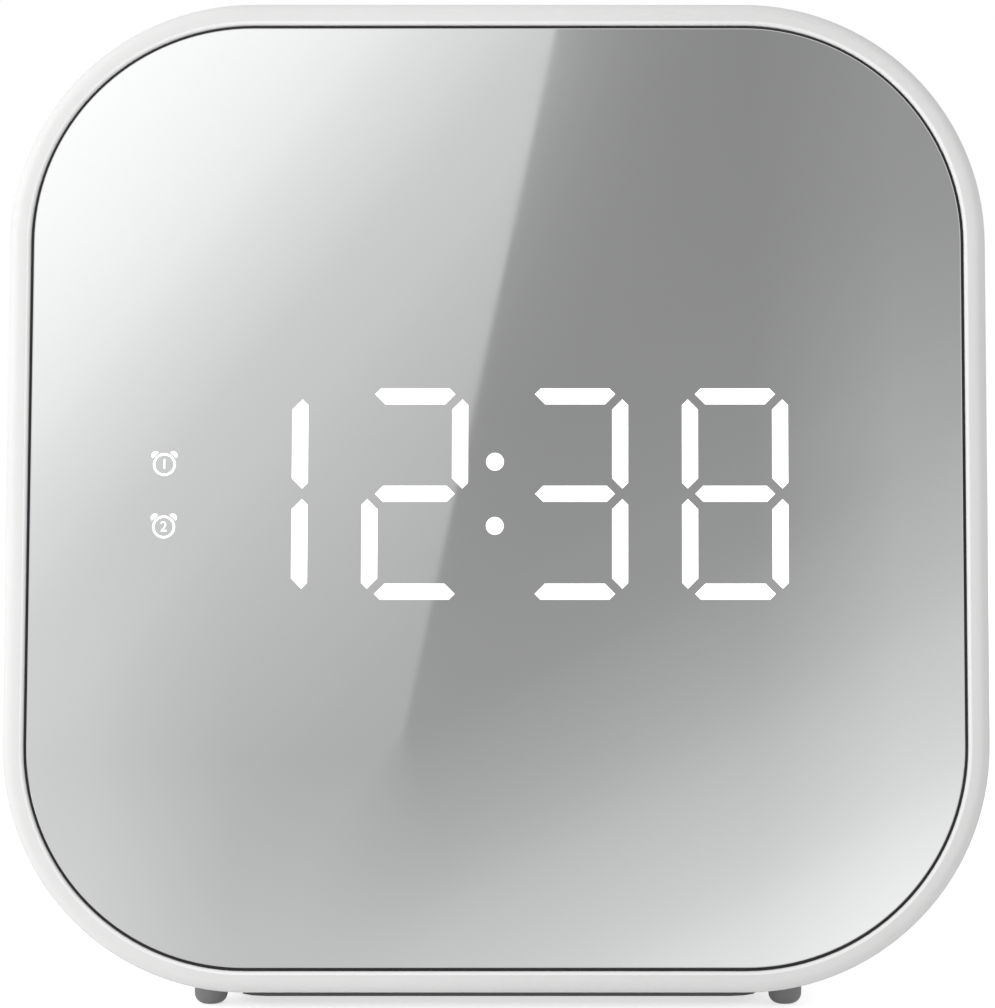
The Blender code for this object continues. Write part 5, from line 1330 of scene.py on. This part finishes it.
@dataclass
class SupplyJack:
    """The round supply jack: a collar with a turned lip and a deep bore."""

    barrel: float = 3.9
    bore: float = 2.8
    bore_depth: float = 10.7
    shoulder: float = 28.5
    lip: float = 0.25

    def build(self) -> bpy.types.Object:
        """Models the jack. Returns it."""
        low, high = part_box("jack_body")
        shoulder = self.shoulder * MM
        body = block("jack_collar", low, Vector((high.x, shoulder, high.z)))
        centre = Vector(((low.x + high.x) / 2, 0.0, (low.z + high.z) / 2))
        start = centre + Vector((0.0, shoulder - MM, 0.0))
        collar = rod("barrel", self.barrel, start, (high.y - shoulder) / MM + 1.0, Axis.BACK, 48)
        with Bench(collar) as bench:
            bench.pick_edges(lambda a, b: min(a.y, b.y) > high.y - HAIR)
            bench.bevel(self.lip, 3)
        carve(body, collar, "UNION")
        floor = centre + Vector((0.0, high.y - self.bore_depth * MM, 0.0))
        carve(body, rod("bore", self.bore, floor, self.bore_depth + 1.3, Axis.BACK, 40))
        return settle(body, 30.0)


# ---------------------------------------------------------------- what keeps its CAD shape
CAD_FINISHES: dict[object, Sequence[str]] = {
    BASE_GREY: ("base_panel",),
    BLACK: ("front_frame", "processor_chip", "amplifier_chip", "smoothing_capacitor", "usb_tongue"),
    FOAM: ("display_mask",),
    MILKY: ("segment_diffuser", "display_reflector"),
    Board(): ("display_board", "key_board", "main_board"),
    BLACK_RUBBER: ("aerial_gland", "speaker_surround", "speaker_lead", "battery_lead"),
    NICKEL: (
        "usb_shell",
        "tuner_shield",
        "battery_spring_contact",
        "battery_button_contact",
        "battery_bridge_contact",
    ),
    ZINC: (
        "speaker_basket",
        "speaker_magnet",
        "speaker_screw_left",
        "speaker_screw_right",
        "display_screw_upper",
        "display_screw_lower",
        "board_screw_left",
        "board_screw_right",
    ),
    BRASS: ("jack_pin",),
    FIBRE: ("speaker_cone",),
    JACKET: ("cell_front", "cell_rear"),
    RIBBON: ("display_ribbon", "key_ribbon"),
}


# ---------------------------------------------------------------- the room
@dataclass
class Camera:
    """A level camera at the height of the mirror's middle, a little to the right of it."""

    across: float = 12.5
    height: float = 54.0
    distance: float = 339.0
    lens: float = 115.7
    shift: Pair = (-0.1175, -0.0104)

    def place(self) -> Vector:
        """Where the camera stands, in metres."""
        return Vector((self.across * MM, FACE.centre().y - self.distance * MM, self.height * MM))

    def build(self) -> None:
        """Adds the camera and makes it the scene's."""
        bpy.ops.object.camera_add(location=self.place(), rotation=(math.pi / 2, 0.0, 0.0))
        camera = bpy.context.object
        camera.name = "view"
        camera.data.lens = self.lens
        camera.data.sensor_width = 36.0
        camera.data.shift_x, camera.data.shift_y = self.shift
        camera.data.clip_start = 0.01
        bpy.context.scene.camera = camera


@dataclass
class SoftCard:
    """The softbox that the mirror looks into: two smooth falls of light that meet along one slanting edge.

    Places on it are named as they are seen in the mirror, in millimetres from the mirror's middle, and light
    is named by its display tone from 0 to 255.
    """

    distance: float = 800.0
    side: float = 620.0
    mirror_share: float = 0.92
    left_way: Pair = (-0.766, 0.643)
    left_tones: tuple[Pair, ...] = ((-14, 171), (0, 177), (18, 193), (30, 207), (41, 231), (60, 254))
    right_way: Pair = (0.485, -0.875)
    right_tones: tuple[Pair, ...] = ((-30, 134), (8, 144), (20, 154), (34, 181), (49, 209), (60, 230))
    edge_start: float = -4.25
    edge_slope: float = 0.2115
    edge_softness: Pair = (0.35, 0.7)
    edge_fade: float = 14.0
    edge_glow: Pair = (6.0, 32.0)
    border_lift: Pair = (10.0, 11.0)
    foot_lift: float = 20.0
    corner_lift: float = 10.0

    def build(self, camera: Camera) -> None:
        """Adds the card in front of the mirror, parallel to it."""
        bpy.ops.mesh.primitive_plane_add(size=self.side * MM, rotation=(math.pi / 2 - LEAN, 0.0, 0.0))
        card = bpy.context.object
        card.name = "soft_card"
        offset = camera.place() - FACE.centre()
        up = Vector((0.0, math.sin(LEAN), math.cos(LEAN)))
        back = offset.dot(FACE.normal()) / MM
        growth = (back + self.distance) / back
        card.location = FACE.centre() + FACE.normal() * self.distance * MM
        card.location += (Vector((offset.x, 0.0, 0.0)) + up * offset.dot(up)) * (1 - growth)
        dress(card, self.finish(growth))
        card.visible_camera = False
        card.visible_diffuse = False
        card.visible_shadow = False

    def fall(self, graph: Graph, value: bpy.types.NodeSocket, tones: Sequence[Pair]) -> bpy.types.NodeSocket:
        """A smooth fall of tone along a value. Args: tones, pairs of place and tone. Returns its output."""
        low, high = tones[0][0], tones[-1][0]
        node = graph.add("ValToRGB")
        node.color_ramp.interpolation = "CARDINAL"
        marks = node.color_ramp.elements
        while len(marks) < len(tones):
            marks.new(0.5)
        for mark, (place, grey) in zip(marks, tones):
            mark.position = (place - low) / (high - low)
            mark.color = (grey / 255, grey / 255, grey / 255, 1.0)
        graph.join(graph.span(value, (low, high), (0.0, 1.0)), node.inputs[0])
        return graph.math("MULTIPLY", node.outputs["Color"], 255.0)

    def finish(self, growth: float) -> bpy.types.Material:
        """The card's light. Args: growth, how much larger the card is than its picture in the mirror."""
        made, graph, shader = new_finish("soft_card_light")
        place = graph.add("SeparateXYZ")
        graph.join(graph.add("TexCoord").outputs["Object"], place.inputs[0])
        across = graph.math("MULTIPLY", place.outputs["X"], 1 / (growth * MM))
        up = graph.math("MULTIPLY", place.outputs["Y"], 1 / (growth * MM))

        def times(first: object, second: object) -> bpy.types.NodeSocket:
            """One number or socket times another. Returns its output."""
            return graph.math("MULTIPLY", first, second)

        def along(way: Pair) -> bpy.types.NodeSocket:
            """How far a place lies along a direction on the card. Returns its output."""
            return graph.math("ADD", times(across, way[0]), times(up, way[1]))

        line = graph.math("ADD", times(up, self.edge_slope), self.edge_start)
        beyond = graph.math("SUBTRACT", across, line)
        lift = graph.span(up, (-28.0, -47.0), (0.0, self.foot_lift))
        side = graph.span(across, (-27.0, -42.0), (0.0, self.corner_lift))
        corner = times(side, graph.span(up, (-2.0, -28.0), (0.0, 1.0)))
        left = graph.math("ADD", self.fall(graph, along(self.left_way), self.left_tones), lift)
        left = graph.math("ADD", left, corner)
        right = graph.math("ADD", self.fall(graph, along(self.right_way), self.right_tones), times(lift, 0.1))
        glow = times(graph.span(up, (8.0, 45.0), self.edge_glow), graph.math("POWER", 0.88, beyond))
        height = graph.math("ABSOLUTE", graph.math("SUBTRACT", up, 5.0))
        steady, bump = self.border_lift
        side = graph.span(across, (27.0, 42.0), (0.0, 1.0))
        border = times(side, graph.span(height, (0.0, 25.0), (steady + bump, steady)))
        right = graph.math("ADD", graph.math("ADD", right, glow), border)
        fade = graph.span(up, (-25.0, -38.0), (0.0, self.edge_fade))
        softness = graph.math("ADD", graph.span(up, (45.0, -30.0), self.edge_softness), fade)
        share = graph.math("ADD", graph.math("DIVIDE", beyond, softness), 0.5, clamp=True)
        tone = graph.math("ADD", left, times(share, graph.math("SUBTRACT", right, left)))
        light = graph.math("DIVIDE", graph.math("ADD", graph.math("DIVIDE", tone, 255.0), 0.055), 1.055)
        graph.join(graph.math("POWER", light, 2.4), shader.inputs["Emission Color"])
        shader.inputs["Emission Strength"].default_value = 1 / self.mirror_share
        shader.inputs["Base Color"].default_value = (0.0, 0.0, 0.0, 1.0)
        shader.inputs["Specular IOR Level"].default_value = 0.0
        return made


@dataclass
class Room:
    """The pale floor, the white surroundings and the soft lights."""

    floor_glow: float = 0.66
    floor_bounce: float = 0.15
    surround: float = 0.61

    def build(self) -> None:
        """Adds the floor, the world and the lights."""
        bpy.context.scene.view_settings.view_transform = "Standard"
        self.build_floor()
        self.build_world()
        self.lamp("window_light", (-270.0, -190.0, 190.0), 160.0, 0.47)
        self.lamp("top_light", (-60.0, -80.0, 900.0), 700.0, 0.6)

    def build_floor(self) -> None:
        """Adds the floor that the feet stand on."""
        bpy.ops.mesh.primitive_circle_add(vertices=96, radius=3.0, fill_type="NGON")
        floor = bpy.context.object
        floor.name = "floor"
        made, graph, shader = new_finish("pale_floor")
        drift = Effect.DRIFT.place(graph, Colour=(0.9, 0.9, 0.9, 1.0), Other=(0.88, 0.88, 0.88, 1.0), Scale=6.0)
        rays = graph.add("LightPath")
        dim = graph.add("Mix", data_type="RGBA", blend_type="MULTIPLY")
        dim.inputs["B"].default_value = (0.5, 0.5, 0.5, 1.0)
        graph.join(rays.outputs["Is Glossy Ray"], dim.inputs["Factor"])
        graph.join(drift.outputs["Colour"], dim.inputs["A"])
        graph.join(dim.outputs["Result"], shader.inputs["Base Color"])
        below = graph.add("NewGeometry").outputs["Backfacing"]
        graph.join(graph.math("SUBTRACT", 1.0, below), shader.inputs["Alpha"])
        shader.inputs["Roughness"].default_value = 0.8
        shader.inputs["Emission Color"].default_value = (1.0, 1.0, 1.0, 1.0)
        seen = rays.outputs["Is Camera Ray"]
        glow = graph.span(seen, (0.0, 1.0), (self.floor_bounce, self.floor_glow))
        graph.join(glow, shader.inputs["Emission Strength"])
        dress(floor, made)

    def build_world(self) -> None:
        """Makes the surroundings white to the eye and a little dimmer as light."""
        world = bpy.data.worlds.new("surroundings")
        world.use_nodes = True
        bpy.context.scene.world = world
        graph = Graph(world.node_tree)
        background = world.node_tree.nodes["Background"]
        background.inputs["Color"].default_value = (1.0, 1.0, 1.0, 1.0)
        seen = graph.add("LightPath").outputs["Is Camera Ray"]
        graph.join(graph.span(seen, (0.0, 1.0), (self.surround, 1.0)), background.inputs["Strength"])

    def lamp(self, name: str, place: Point, size: float, power: float) -> None:
        """Adds a soft square light aimed at the radio. Args: place and size in millimetres; power in watts."""
        spot = metres(*place)
        way = (metres(0.0, 0.0, 50.0) - spot).to_track_quat("-Z", "Y").to_euler()
        bpy.ops.object.light_add(type="AREA", location=spot, rotation=way)
        light = bpy.context.object
        light.name = name
        light.data.size = size * MM
        light.data.energy = power
        light.visible_camera = False
        light.visible_glossy = False


# ---------------------------------------------------------------- building in order
def build_shell(finishes: Finishes) -> None:
    """Builds and dresses the two white shells."""
    housing = FrontHousing()
    front = housing.build()
    dress(front, finishes.get(WHITE))
    # The rim's inner round gets a lighter white, which is a painted highlight.
    housing.polish(front, finishes.get(LIP_HIGHLIGHT_WHITE))
    mount(front, RADIO, ["front_housing"])
    fit(RearShell().build(), finishes.get(WHITE), RADIO, ["rear_shell"])


def build_face(finishes: Finishes) -> None:
    """Builds and dresses the mirror, its tape and the lit time."""
    plate = MirrorPlate()
    fit(plate.build(), finishes.get(MirrorCoat()), RADIO, ["mirror_plate"])
    # The tape is real black foam, but its lip in the gap round the mirror is a black piece that paints the gap's
    # shade.
    fit(plate.build_tape(), finishes.get(FOAM), RADIO, ["mirror_tape"])
    fit(LitTime().build(), finishes.get(Glow()), RADIO)


def build_keys(finishes: Finishes) -> None:
    """Builds and dresses every key and what is printed on it."""
    for node, sign in KEY_SIGNS.items():
        key = Key(node, sign)
        fit(key.build(), finishes.get(WHITE), f"{node}_cap", [node])
        fit(key.build_sign(), finishes.get(PRINT), f"{node}_cap")


def build_keypad(finishes: Finishes) -> None:
    """Builds and dresses the keypad and the domes under the keys."""
    pad = Keypad()
    rubber = finishes.get(GREY_RUBBER)
    fit(pad.build(), rubber, RADIO, ["keypad_membrane"])
    for node in KEY_SIGNS:
        for number, across in enumerate(STEM_PLACES.get(node, (0.0,)), start=1):
            foot = over(node, across, pad.sheet_top)
            dome = pad.build_dome(f"{node}_dome_{number}", foot)
            fit(dome, rubber, RADIO)
            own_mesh(dome)


def build_underside(finishes: Finishes) -> None:
    """Builds and dresses the battery door and the feet."""
    fit(BatteryDoor().build(), finishes.get(BASE_GREY), "door", ["battery_door"])
    for node in FOOT_NODES:
        fit(Foot(node).build(), finishes.get(GREY_RUBBER), RADIO, [node])


def build_back(finishes: Finishes) -> None:
    """Builds and dresses the screws and the jack."""
    for corner in ("upper_left", "upper_right", "lower_left", "lower_right"):
        node = f"rear_screw_{corner}"
        fit(RearScrew(node).build(), finishes.get(ZINC), RADIO, [node])
    fit(SupplyJack().build(), finishes.get(BLACK), RADIO, ["jack_body"])


def dress_frame(finishes: Finishes) -> None:
    """Gives the CAD nodes that keep their shape their finishes."""
    for finish, nodes in CAD_FINISHES.items():
        for node in nodes:
            dress(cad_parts[node], finishes.get(finish))
    LOG.info("the inner pieces are dressed")


def main() -> None:
    """Builds the room and then the radio, piece by piece."""
    logging.basicConfig(level=logging.INFO, format="%(name)s: %(message)s")
    camera = Camera()
    camera.build()
    finishes = Finishes()
    Room().build()
    SoftCard().build(camera)
    build_shell(finishes)
    build_face(finishes)
    build_keys(finishes)
    build_keypad(finishes)
    build_underside(finishes)
    build_back(finishes)
    dress_frame(finishes)


if __name__ == "__main__":
    main()
